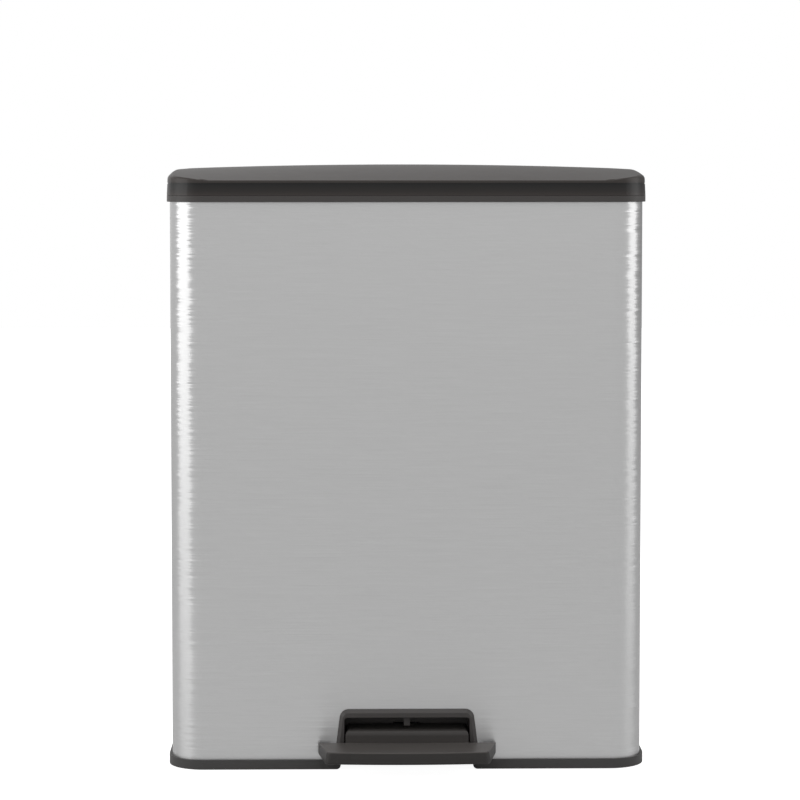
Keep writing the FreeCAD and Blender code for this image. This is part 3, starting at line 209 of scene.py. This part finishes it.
def close_edit():
    bpy.ops.object.mode_set(mode="OBJECT")


def ends(obj, edge):
    """The two end points of an edge."""
    return [obj.data.vertices[n].co for n in edge.vertices]


def upright(obj, edge):
    a, b = ends(obj, edge)
    return abs(a.x - b.x) < NEAR and abs(a.y - b.y) < NEAR


def normals_by_edge(obj):
    """The normals of the faces that meet at each edge, under the edge's key."""
    normals = {}
    for face in obj.data.polygons:
        for key in face.edge_keys:
            normals.setdefault(key, []).append(face.normal.copy())
    return normals


def remove_faces(obj, chosen):
    choose(obj, "FACE", chosen)
    bpy.ops.mesh.delete(type="FACE")
    close_edit()


def bevel_edges(obj, width, segments, chosen):
    choose(obj, "EDGE", chosen)
    bpy.ops.mesh.bevel(offset_type="OFFSET", offset=width, segments=segments, profile=0.5, affect="EDGES",
                       clamp_overlap=False)
    close_edit()


def cut_across(obj, axis, place):
    """Cuts every face of obj that crosses a plane square to an axis (0, 1 or 2)."""
    alone(obj)
    point, normal = Vector(), Vector()
    point[axis] = place
    normal[axis] = 1
    bpy.ops.object.mode_set(mode="EDIT")
    bpy.ops.mesh.select_all(action="SELECT")
    bpy.ops.mesh.bisect(plane_co=point, plane_no=normal, use_fill=False)
    close_edit()


def apply_modifier(obj, kind, **settings):
    alone(obj)
    modifier = obj.modifiers.new(kind.lower(), kind)
    for key, value in settings.items():
        setattr(modifier, key, value)
    bpy.ops.object.modifier_apply(modifier=modifier.name)


def carve(obj, tool, operation="DIFFERENCE"):
    """Cuts tool out of obj, or fuses it on, and removes tool."""
    apply_modifier(obj, "BOOLEAN", operation=operation, object=tool, solver="EXACT")
    bpy.data.objects.remove(tool, do_unlink=True)


def smooth(obj):
    """Smooth shading that keeps the sharp edges, with flat faces left flat."""
    alone(obj)
    bpy.ops.object.shade_smooth_by_angle(angle=SHARP_ANGLE)
    apply_modifier(obj, "WEIGHTED_NORMAL", keep_sharp=True, weight=80)


def softened(node, name, width, share=None):
    """A copy of a CAD node whose sharp edges are rounded, as a moulding's or a pressing's are.

    share gives how much of the width an edge between two points gets. Without it each edge gets all,
    or less where there is no room for it.
    """
    source = frame["nodes"][node]
    obj = bpy.data.objects.new(name, source.data.copy())
    obj.data.name = name
    bpy.context.scene.collection.objects.link(obj)
    alone(obj)
    bpy.ops.object.mode_set(mode="EDIT")
    bpy.ops.mesh.select_all(action="SELECT")
    bpy.ops.mesh.remove_doubles(threshold=NEAR)
    bpy.ops.mesh.dissolve_limited(angle_limit=FLAT_ANGLE, delimit={"NORMAL"})
    close_edit()
    alone(obj)
    bpy.ops.mesh.customdata_custom_splitnormals_clear()
    normals = normals_by_edge(obj)
    weights = obj.data.attributes.new("bevel_weight_edge", "FLOAT", "EDGE")
    for edge in obj.data.edges:
        sides = normals[edge.key]
        if len(sides) == 2 and sides[0].angle(sides[1], 0) > EDGE_ANGLE:
            weights.data[edge.index].value = share(*ends(obj, edge)) if share else 1.0
    apply_modifier(obj, "BEVEL", width=width, segments=3, limit_method="WEIGHT", miter_outer="MITER_ARC",
                   use_clamp_overlap=share is None)
    smooth(obj)
    return obj


# ---------------------------------------------------------------- sleeve

def make_sleeve():
    sleeve = start_block("steel_sleeve", SLEEVE_LOW, SLEEVE_HIGH)
    remove_faces(sleeve, lambda face: abs(face.normal.z) > 0.5)
    bevel_edges(sleeve, SLEEVE_CORNER, 24, lambda edge: upright(sleeve, edge))
    for place in (-GATE_HALF, GATE_HALF):
        cut_across(sleeve, 0, place)
    cut_across(sleeve, 2, GATE_TOP)
    remove_faces(sleeve, lambda face: face.normal.y < -0.9 and abs(face.center.x) < GATE_HALF
                 and face.center.z < GATE_TOP)
    apply_modifier(sleeve, "SOLIDIFY", thickness=SHEET_STEEL, offset=-1)
    smooth(sleeve)
    return sleeve


# ---------------------------------------------------------------- lid

def grid_places(half):
    """Places of the cuts that divide the lid's top, spread evenly and clear of its edges."""
    count = 2 * round(half / GRID_STEP)
    return [half * (2 * n / count - 1) for n in range(1, count)]


def lid_form(name, inset):
    """The lid's outside, or with an inset its inside: arched from side to side, with a sloped front."""
    half_x, half_y = LID_HALF_X - inset, LID_HALF_Y - inset
    rim = LID_RIM - inset
    form = start_block(name, (-half_x, -half_y, LID_BOTTOM), (half_x, half_y, rim))
    bevel_edges(form, LID_CORNER - inset, 12, lambda edge: upright(form, edge))
    remove_faces(form, lambda face: face.normal.z < -0.5)
    choose(form, "FACE", lambda face: face.normal.z > 0.5)
    shrink = (1 - LID_DRAFT / half_x, 1 - LID_DRAFT / half_y, 1)
    bpy.ops.transform.resize(value=shrink, center_override=(0, 0, rim))
    close_edit()
    for x in grid_places(half_x):
        cut_across(form, 0, x)
    for y in grid_places(half_y):
        cut_across(form, 1, y)
    choose(form, "VERT", lambda vertex: vertex.co.z < rim - NEAR)
    bpy.ops.mesh.hide(unselected=False)
    close_edit()
    raise_arch(form, half_x, LID_CREST - LID_RIM)
    lower_front(form, half_y, LID_FRONT_EDGE - inset)
    alone(form)
    bpy.ops.object.mode_set(mode="EDIT")
    bpy.ops.mesh.reveal(select=False)
    close_edit()
    return form


def select_shown(obj, chosen):
    """Opens obj in edit mode with the shown vertices selected that chosen accepts."""
    alone(obj)
    for vertex in obj.data.vertices:
        vertex.select = not vertex.hide and chosen(vertex)
    for group in (obj.data.edges, obj.data.polygons):
        for item in group:
            item.select = False
    bpy.ops.object.mode_set(mode="EDIT")
    bpy.ops.mesh.select_mode(type="VERT")


def raise_arch(form, half_x, rise):
    """Lifts the top along its middle, with a parabola down to both sides."""
    select_shown(form, lambda vertex: abs(vertex.co.x) < NEAR)
    bpy.ops.transform.translate(value=(0, 0, rise), use_proportional_edit=True,
                                proportional_edit_falloff="INVERSE_SQUARE", proportional_size=half_x)
    close_edit()


def lower_front(form, half_y, edge_height):
    """Brings the front edge down level, and slopes the top up behind it."""
    front = -half_y + LID_DRAFT + NEAR
    select_shown(form, lambda vertex: vertex.co.y < front)
    bpy.ops.transform.resize(value=(1, 1, 0), center_override=(0, 0, edge_height), use_proportional_edit=True,
                             proportional_edit_falloff="SHARP", proportional_size=LID_SLOPE)
    close_edit()


def round_rim(cover):
    """Rounds the edge between the lid's sides and its top: tight along the front, fuller elsewhere."""
    normals = normals_by_edge(cover)
    weights = cover.data.attributes.new("bevel_weight_edge", "FLOAT", "EDGE")
    for edge in cover.data.edges:
        slopes = sorted(normal.z for normal in normals[edge.key])
        if len(slopes) == 2 and slopes[0] < 0.3 < 0.6 < slopes[1]:
            middle = sum(ends(cover, edge), Vector()) / 2
            along = min(1, max(0, (middle.y + LID_HALF_Y) / LID_CORNER))
            eased = along * along * (3 - 2 * along)
            weights.data[edge.index].value = FRONT_ROUND_SHARE + (1 - FRONT_ROUND_SHARE) * eased
    apply_modifier(cover, "BEVEL", width=LID_ROUND, segments=5, limit_method="WEIGHT",
                   use_clamp_overlap=False)


def cut_groove(cover):
    for z in (GROOVE_LOW, GROOVE_HIGH):
        cut_across(cover, 2, z)
    choose(cover, "FACE", lambda face: GROOVE_LOW < face.center.z < GROOVE_HIGH)
    bpy.ops.mesh.extrude_region_shrink_fatten(TRANSFORM_OT_shrink_fatten={"value": -GROOVE_DEPTH})
    close_edit()


def close_shell(outer, inner):
    """Joins an outside and an inside form along their open lower edges."""
    alone(inner)
    bpy.ops.object.mode_set(mode="EDIT")
    bpy.ops.mesh.select_all(action="SELECT")
    bpy.ops.mesh.flip_normals()
    close_edit()
    alone(outer)
    inner.select_set(True)
    bpy.ops.object.join()
    choose(outer, "EDGE", lambda edge: all(abs(end.z - LID_BOTTOM) < NEAR for end in ends(outer, edge)))
    bpy.ops.mesh.bridge_edge_loops()
    close_edit()


def make_lid_cover():
    cover = lid_form("lid_shell", 0)
    round_rim(cover)
    cut_groove(cover)
    close_shell(cover, lid_form("lid_inside", LID_WALL))
    for x in (HINGE_X, -HINGE_X):
        middle = (x, HINGE_Y, HINGE_Z)
        carve(cover, start_round("lug_space", LUG_SPACE_RADIUS, LUG_SPACE_HALF * 2, middle, "X"))
    for x in (HINGE_X, -HINGE_X):
        middle = (x, HINGE_Y, HINGE_Z)
        knuckle = start_round("knuckle", KNUCKLE_RADIUS, KNUCKLE_HALF * 2, middle, "X")
        web = start_block("web", (x - KNUCKLE_HALF, LID_HALF_Y - LID_WALL, LID_BOTTOM - NEAR),
                          (x + KNUCKLE_HALF, HINGE_Y + WEB_PAST_AXIS, LID_BOTTOM + WEB_HEIGHT))
        carve(knuckle, web, "UNION")
        carve(knuckle, start_round("bore", PIN_RADIUS, KNUCKLE_HALF * 3, middle, "X"))
        carve(cover, knuckle, "UNION")
    smooth(cover)
    return cover


# ---------------------------------------------------------------- pedal

def lean_sides(tread, front):
    """Cuts both ends of the tread to flat faces that lean in upwards and towards the front."""
    back = Vector((TREAD_TOP_BACK_HALF, TREAD_BACK, TREAD_TOP))
    along = Vector((TREAD_TOP_FRONT_HALF, front, TREAD_TOP)) - back
    down = Vector((TREAD_SIDE_LEAN, 0, -1))
    for side in (1, -1):
        normal = down.cross(along)
        alone(tread)
        bpy.ops.object.mode_set(mode="EDIT")
        bpy.ops.mesh.select_all(action="SELECT")
        bpy.ops.mesh.bisect(plane_co=(back.x * side, back.y, back.z),
                            plane_no=(abs(normal.x) * side, -abs(normal.y), abs(normal.z)),
                            use_fill=True, clear_outer=True)
        close_edit()


def make_tread():
    """The pedal's tread: bowed front, leaning ends, rolled lower edge, hollow underneath."""
    front = TREAD_FRONT + TREAD_BOW
    tread = start_block("pedal_pad", (-TREAD_HALF, front, TREAD_BOTTOM), (TREAD_HALF, TREAD_BACK, TREAD_TOP))
    lean_sides(tread, front)

    def front_corner(edge):
        a, b = ends(tread, edge)
        return a.y < front + NEAR and b.y < front + NEAR and abs(a.x - b.x) < TREAD_LEAN_MOST

    bevel_edges(tread, TREAD_CORNER, 6, front_corner)
    for n in range(-TREAD_CUTS_EACH_SIDE, TREAD_CUTS_EACH_SIDE + 1):
        cut_across(tread, 0, n * TREAD_CUT_STEP)
    choose(tread, "VERT", lambda vertex: abs(vertex.co.x) < NEAR and vertex.co.y < front + NEAR)
    bpy.ops.transform.translate(value=(0, -TREAD_BOW, 0), use_proportional_edit=True,
                                proportional_edit_falloff="INVERSE_SQUARE",
                                proportional_size=TREAD_TOP_FRONT_HALF - TREAD_CORNER)
    close_edit()
    lower_rim = outer_edges(tread, TREAD_BOTTOM)
    bevel_edges(tread, TREAD_LOWER_ROUND, 5, lambda edge: edge.key in lower_rim
                and min(end.y for end in ends(tread, edge)) < TREAD_BACK - NEAR)
    upper_rim = outer_edges(tread, TREAD_TOP)
    bevel_edges(tread, TREAD_UPPER_ROUND, 3, lambda edge: edge.key in upper_rim)
    inside = TREAD_TOP_FRONT_HALF - TREAD_WALL
    carve(tread, start_block("tread_space", (-inside, front + TREAD_WALL, TREAD_BOTTOM - TREAD_WALL),
                             (inside, TREAD_BACK + TREAD_WALL, TREAD_TOP - TREAD_WALL)))
    carve(tread, make_arm(), "UNION")
    smooth(tread)
    return tread


def outer_edges(obj, height):
    """The edges at one height where a level face meets an upright one."""
    slopes = {key: [abs(normal.z) for normal in normals] for key, normals in normals_by_edge(obj).items()}
    return {edge.key for edge in obj.data.edges
            if all(abs(end.z - height) < NEAR for end in ends(obj, edge))
            and min(slopes[edge.key]) < 0.5 < max(slopes[edge.key])}


def make_arm():
    """The riser behind the tread that reaches into the recess, as a cap open below and behind."""
    arm = start_block("pedal_arm", (-ARM_HALF, TREAD_BACK - ARM_OVERLAP, ARM_BOTTOM),
                      (ARM_HALF, ARM_BACK, ARM_TOP))
    bevel_edges(arm, ARM_ROUND, 6, lambda edge: all(abs(end.z - ARM_TOP) < NEAR for end in ends(arm, edge))
                and min(end.y for end in ends(arm, edge)) < ARM_BACK - NEAR)
    w = TREAD_WALL
    carve(arm, start_block("arm_space", (-ARM_HALF + w, TREAD_BACK + w, ARM_BOTTOM - w),
                           (ARM_HALF - w, ARM_BACK + w, ARM_TOP - w)))
    return arm


# ---------------------------------------------------------------- finishes

def add_node(tree, kind, inputs=None, **settings):
    """Adds a node; each input is a value or another node's output."""
    node = tree.nodes.new(kind)
    for key, value in settings.items():
        setattr(node, key, value)
    for key, value in (inputs or {}).items():
        if isinstance(value, bpy.types.NodeSocket):
            tree.links.new(value, node.inputs[key])
        else:
            node.inputs[key].default_value = value
    return node


def new_group(name, inputs, outputs):
    """A shader node group, with its input and output nodes."""
    tree = bpy.data.node_groups.new(name, "ShaderNodeTree")
    for label, kind, value in inputs:
        socket = tree.interface.new_socket(label, in_out="INPUT", socket_type=kind)
        socket.default_value = value
    for label, kind in outputs:
        tree.interface.new_socket(label, in_out="OUTPUT", socket_type=kind)
    return tree, tree.nodes.new("NodeGroupInput").outputs, tree.nodes.new("NodeGroupOutput").inputs


COLOUR = "NodeSocketColor"
NUMBER = "NodeSocketFloat"
VECTOR = "NodeSocketVector"


def math_node(tree, operation, a, b=0.0):
    return add_node(tree, "ShaderNodeMath", {0: a, 1: b}, operation=operation).outputs[0]


def vector_node(tree, operation, inputs):
    return add_node(tree, "ShaderNodeVectorMath", inputs, operation=operation).outputs[0]


def shade_colour(tree, colour, factor):
    """The colour made lighter or darker by a factor."""
    return vector_node(tree, "SCALE", {0: colour, "Scale": factor})


def object_noise(tree, scale, detail=2.0, roughness=0.5, vector=None):
    place = vector or add_node(tree, "ShaderNodeTexCoord").outputs["Object"]
    return add_node(tree, "ShaderNodeTexNoise", {"Vector": place, "Scale": scale, "Detail": detail,
                                                 "Roughness": roughness}).outputs["Fac"]


def swing(tree, noise, amount):
    """How far a noise lies from its middle, times an amount."""
    return math_node(tree, "MULTIPLY", math_node(tree, "SUBTRACT", noise, 0.5), amount)


def make_moulded_group():
    """Moulded plastic: a fine spark-eroded grain, with slow changes of tone and sheen."""
    tree, given, made = new_group("moulded_grain", [
        ("Colour", COLOUR, (0.05, 0.05, 0.05, 1)), ("Roughness", NUMBER, 0.5),
        ("Grain per metre", NUMBER, 1600.0), ("Tone change", NUMBER, 0.10), ("Sheen change", NUMBER, 0.10)],
        [("Colour", COLOUR), ("Roughness", NUMBER), ("Height", NUMBER)])
    grain = object_noise(tree, given["Grain per metre"], 3.0, 0.6)
    cloud = object_noise(tree, 14.0, 3.0, 0.55)
    smear = object_noise(tree, 45.0, 2.0, 0.5)
    tone = swing(tree, cloud, given["Tone change"])
    speck = swing(tree, grain, given["Tone change"])
    factor = math_node(tree, "ADD", math_node(tree, "ADD", tone, speck), 1.0)
    tree.links.new(shade_colour(tree, given["Colour"], factor), made["Colour"])
    sheen = swing(tree, smear, given["Sheen change"])
    tree.links.new(math_node(tree, "ADD", given["Roughness"], sheen), made["Roughness"])
    tree.links.new(grain, made["Height"])
    return tree


def make_brushed_group():
    """Brushed sheet: long fine streaks that lie level, in tone, in sheen and in the way the surface leans."""
    tree, given, made = new_group("level_brushing", [
        ("Colour", COLOUR, (0.55, 0.55, 0.55, 1)), ("Roughness", NUMBER, 0.3),
        ("Streaks per metre up", NUMBER, 1300.0), ("Streaks per metre along", NUMBER, 38.0),
        ("Tone change", NUMBER, 0.1), ("Sheen change", NUMBER, 0.15), ("Waver", NUMBER, 0.05)],
        [("Colour", COLOUR), ("Roughness", NUMBER), ("Normal", VECTOR)])
    place = add_node(tree, "ShaderNodeTexCoord").outputs["Object"]

    def streaks(share, detail):
        along = math_node(tree, "MULTIPLY", given["Streaks per metre along"], share)
        up = math_node(tree, "MULTIPLY", given["Streaks per metre up"], share)
        stretch = add_node(tree, "ShaderNodeCombineXYZ", {0: along, 1: along, 2: up}).outputs[0]
        vector = vector_node(tree, "MULTIPLY", {0: place, 1: stretch})
        return math_node(tree, "SUBTRACT", object_noise(tree, 1.0, detail, 0.6, vector), 0.5)

    fine = streaks(1.0, 3.0)
    broad = streaks(0.4, 0.5)
    both = math_node(tree, "ADD", fine, broad)
    factor = math_node(tree, "ADD", math_node(tree, "MULTIPLY", fine, given["Tone change"]), 1.0)
    tree.links.new(shade_colour(tree, given["Colour"], factor), made["Colour"])
    sheen = math_node(tree, "MULTIPLY", both, given["Sheen change"])
    tree.links.new(math_node(tree, "ADD", given["Roughness"], sheen), made["Roughness"])
    normal = add_node(tree, "ShaderNodeNewGeometry").outputs["Normal"]
    level = vector_node(tree, "CROSS_PRODUCT", {0: normal, 1: (0, 0, 1)})
    tilt = vector_node(tree, "SCALE", {0: level, "Scale": math_node(tree, "MULTIPLY", both, given["Waver"])})
    leaned = vector_node(tree, "ADD", {0: normal, 1: tilt})
    tree.links.new(vector_node(tree, "NORMALIZE", {0: leaned}), made["Normal"])
    return tree


MOULDED = make_moulded_group()
BRUSHED = make_brushed_group()


def shader_of(material):
    return next(node for node in material.node_tree.nodes if node.type == "BSDF_PRINCIPLED")


def new_material(name):
    material = bpy.data.materials.new(name)
    material.use_nodes = True
    return material, material.node_tree, shader_of(material)


def use_group(tree, group, values):
    node = add_node(tree, "ShaderNodeGroup", node_tree=group)
    for key, value in values.items():
        node.inputs[key].default_value = value
    return node.outputs


def moulded(name, colour, roughness, grain=1600.0, depth=0.05, tone=0.10, sheen=0.05, shine=0.3):
    """A moulded plastic or rubber finish; depth is the grain's height in millimetres."""
    material, tree, shader = new_material(name)
    made = use_group(tree, MOULDED, {"Colour": (*colour, 1), "Roughness": roughness, "Grain per metre": grain,
                                     "Tone change": tone, "Sheen change": sheen})
    bump = add_node(tree, "ShaderNodeBump", {"Height": made["Height"], "Strength": 0.35,
                                             "Distance": depth * MM})
    tree.links.new(made["Colour"], shader.inputs["Base Color"])
    tree.links.new(made["Roughness"], shader.inputs["Roughness"])
    tree.links.new(bump.outputs[0], shader.inputs["Normal"])
    shader.inputs["Specular IOR Level"].default_value = shine
    return material


def brushed(name, colour, roughness, up=1300.0, along=38.0, tone=0.1, sheen=0.15, waver=0.05, stretch=0.0):
    """A brushed or drawn metal finish."""
    material, tree, shader = new_material(name)
    made = use_group(tree, BRUSHED, {"Colour": (*colour, 1), "Roughness": roughness,
                                     "Streaks per metre up": up, "Streaks per metre along": along,
                                     "Tone change": tone, "Sheen change": sheen, "Waver": waver})
    shader.inputs["Metallic"].default_value = 1
    shader.inputs["Anisotropic"].default_value = stretch
    shader.inputs["Anisotropic Rotation"].default_value = 0.25
    tangent = add_node(tree, "ShaderNodeTangent", direction_type="RADIAL", axis="Z")
    tree.links.new(tangent.outputs[0], shader.inputs["Tangent"])
    tree.links.new(made["Colour"], shader.inputs["Base Color"])
    tree.links.new(made["Roughness"], shader.inputs["Roughness"])
    tree.links.new(made["Normal"], shader.inputs["Normal"])
    return material


def paint_light_and_shade_by_height(material, stops):
    """Paints light and shade into a finish's colour: multiplies it by a tone that depends on the height;
    stops are (millimetres, tone).
    """
    tree = material.node_tree
    shader = shader_of(material)
    colour = shader.inputs["Base Color"].links[0].from_socket
    place = add_node(tree, "ShaderNodeTexCoord").outputs["Object"]
    height = add_node(tree, "ShaderNodeSeparateXYZ", {0: place}).outputs[2]
    low, high = stops[0][0], stops[-1][0]
    share = add_node(tree, "ShaderNodeMapRange", {0: height, 1: low * MM, 2: high * MM}).outputs[0]
    ramp = add_node(tree, "ShaderNodeValToRGB", {0: share})
    points = ramp.color_ramp.elements
    while len(points) < len(stops):
        points.new(0.5)
    for point, (place_mm, tone) in zip(points, stops):
        point.position = (place_mm - low) / (high - low)
        point.color = (tone, tone, tone, 1)
    tree.links.new(shade_colour(tree, colour, ramp.outputs[0]), shader.inputs["Base Color"])


STEEL = brushed("sleeve_steel", (0.59, 0.59, 0.59), 0.34, up=1500.0, along=16.0, tone=0.14, sheen=0.12,
                waver=0.26, stretch=0.75)
ZINC = brushed("zinc_plate", (0.50, 0.51, 0.53), 0.38, up=700.0, along=90.0, tone=0.16, waver=0.06)
TRIM = moulded("warm_grey_plastic", (0.064, 0.059, 0.057), 0.42)
BASE = moulded("plinth_plastic", (0.060, 0.058, 0.057), 0.44)
INNER = moulded("black_plastic", (0.020, 0.020, 0.021), 0.5, grain=1100.0)
BUCKET = moulded("bucket_plastic", (0.03, 0.03, 0.031), 0.42, grain=500.0, depth=0.08)
RUBBER = moulded("rubber", (0.022, 0.022, 0.022), 0.75, grain=2200.0)
DAMPER = moulded("satin_black_paint", (0.03, 0.03, 0.032), 0.32, grain=700.0, depth=0.02)

# painted shade: the lid's skirt is painted darker up to its groove and the groove darkest, as shade under the
# ridge's overhang; the ridge above it is as light as the top
LID = moulded("lid_plastic", (0.033, 0.026, 0.023), 0.36, shine=0.36)
paint_light_and_shade_by_height(LID, [(600, 1.0), (604, 0.45), (611.3, 0.0), (612.4, 0.0), (612.9, 0.8), (615.4, 1.0),
                      (616.2, 1.05)])

# painted light and shade: the tread's front is painted darkest, its upper edge painted lightest where light
# falls from above, and it is painted dimmer towards the arm's top in the recess's shade
PEDAL = moulded("pedal_plastic", (0.060, 0.055, 0.052), 0.42)
paint_light_and_shade_by_height(PEDAL, [(17, 0.5), (28.6, 0.52), (29.7, 1.5), (31, 1.1), (44, 0.7)])

SLOT_FINISH = {
    "brushed_steel": STEEL, "trim": TRIM, "base": BASE, "inner_plastic": INNER, "bucket_plastic": BUCKET,
    "rubber": RUBBER, "mechanism_steel": ZINC, "fastener": ZINC, "damper_body": DAMPER,
}
SLOT_OF = {part["node"]: part["material_slot"] for part in frame["record"]["subparts"]}
BODY_OF = {node: body for body, nodes in frame["record"]["behaviour"]["bodies"].items() for node in nodes}


# ---------------------------------------------------------------- pieces in their places

def dress(obj, material):
    obj.data.materials.clear()
    obj.data.materials.append(material)


def stand_for(obj, node, finish=None):
    """Lets a finished piece stand for a CAD node: same body, and the finish of the node's slot unless another
    is given.
    """
    dress(obj, finish or SLOT_FINISH[SLOT_OF[node]])
    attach(obj, BODY_OF[node])
    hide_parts(node)


def bezel_share(a, b):
    """The recess's upper corners are rounded fully, and the bezel's other edges a little."""
    inward = abs(a.x - b.x) < NEAR and abs(a.z - b.z) < NEAR and abs(a.y - b.y) > BEZEL_CORNER_DEPTH
    return 1.0 if inward and a.z > BEZEL_CORNER_FROM else BEZEL_EDGE_SHARE


for node_name, node_object in frame["nodes"].items():
    dress(node_object, SLOT_FINISH[SLOT_OF[node_name]])

stand_for(make_sleeve(), "outer_shell")
stand_for(make_lid_cover(), "lid_cover", LID)
stand_for(make_tread(), "pedal_tread", PEDAL)
stand_for(softened("pedal_bezel", "pedal_bezel_soft", BEZEL_CORNER_ROUND, bezel_share), "pedal_bezel")
for node_name, edge_round in SOFT_EDGES.items():
    stand_for(softened(node_name, f"{node_name}_soft", edge_round), node_name)


# ---------------------------------------------------------------- stage, light and camera

def background_rays(tree):
    """Light Path's outputs, and a mask of the rays that see the plain white background."""
    rays = add_node(tree, "ShaderNodeLightPath").outputs
    return rays, math_node(tree, "MAXIMUM", rays["Is Camera Ray"], rays["Is Transmission Ray"])


def make_floor():
    bpy.ops.object.select_all(action="DESELECT")
    bpy.ops.mesh.primitive_plane_add(size=FLOOR_SIZE, location=(0, 0, -FLOOR_BELOW))
    floor = named("floor")
    material, tree, shader = new_material("pale_floor")
    shader.inputs["Base Color"].default_value = (0.8, 0.8, 0.8, 1)
    shader.inputs["Roughness"].default_value = 0.9
    rays, seen = background_rays(tree)
    glow = math_node(tree, "ADD", math_node(tree, "MULTIPLY", seen, FLOOR_GLOW),
                     math_node(tree, "MULTIPLY", rays["Is Glossy Ray"], FLOOR_GLOSS))
    shader.inputs["Emission Color"].default_value = (1, 1, 1, 1)
    tree.links.new(glow, shader.inputs["Emission Strength"])
    dress(floor, material)


def make_world():
    world = bpy.data.worlds.new("studio")
    bpy.context.scene.world = world
    world.use_nodes = True
    tree = world.node_tree
    tree.nodes.clear()
    rays, seen = background_rays(tree)
    towards = add_node(tree, "ShaderNodeTexCoord").outputs["Generated"]
    aside = add_node(tree, "ShaderNodeVectorMath", {0: towards, 1: ASIDE}, operation="DOT_PRODUCT")
    gloss = add_node(tree, "ShaderNodeMapRange", {
        "Value": aside.outputs["Value"], "From Min": ASIDE_FROM, "From Max": ASIDE_FULL,
        "To Min": WORLD_GLOSS, "To Max": WORLD_GLOSS_ASIDE}).outputs[0]
    light = add_node(tree, "ShaderNodeMix", {"Factor": rays["Is Glossy Ray"], "A": WORLD_LIGHT, "B": gloss})
    soft = add_node(tree, "ShaderNodeBackground", {"Color": (1, 1, 1, 1), "Strength": light.outputs[0]})
    white = add_node(tree, "ShaderNodeBackground", {"Color": (1, 1, 1, 1), "Strength": 1.0})
    mix = add_node(tree, "ShaderNodeMixShader", {0: seen, 1: soft.outputs[0], 2: white.outputs[0]})
    out = add_node(tree, "ShaderNodeOutputWorld")
    tree.links.new(mix.outputs[0], out.inputs["Surface"])


def make_softbox(name, place, target, width, height, power):
    light = bpy.data.lights.new(name, "AREA")
    light.shape = "RECTANGLE"
    light.size = width
    light.size_y = height
    light.energy = power
    lamp = bpy.data.objects.new(name, light)
    lamp.location = place
    lamp.rotation_euler = (Vector(target) - Vector(place)).to_track_quat("-Z", "Y").to_euler()
    bpy.context.scene.collection.objects.link(lamp)


def make_camera():
    data = bpy.data.cameras.new("camera")
    camera = bpy.data.objects.new("camera", data)
    camera.location = CAMERA_PLACE
    camera.rotation_euler = (math.radians(90 - CAMERA_PITCH), 0, math.radians(CAMERA_YAW))
    data.lens = CAMERA_LENS
    data.shift_y = CAMERA_SHIFT
    bpy.context.scene.collection.objects.link(camera)
    bpy.context.scene.camera = camera


make_floor()
make_world()
for softbox_name, values in SOFTBOXES.items():
    make_softbox(softbox_name, *values)
make_camera()
bpy.context.scene.view_settings.view_transform = "Standard"
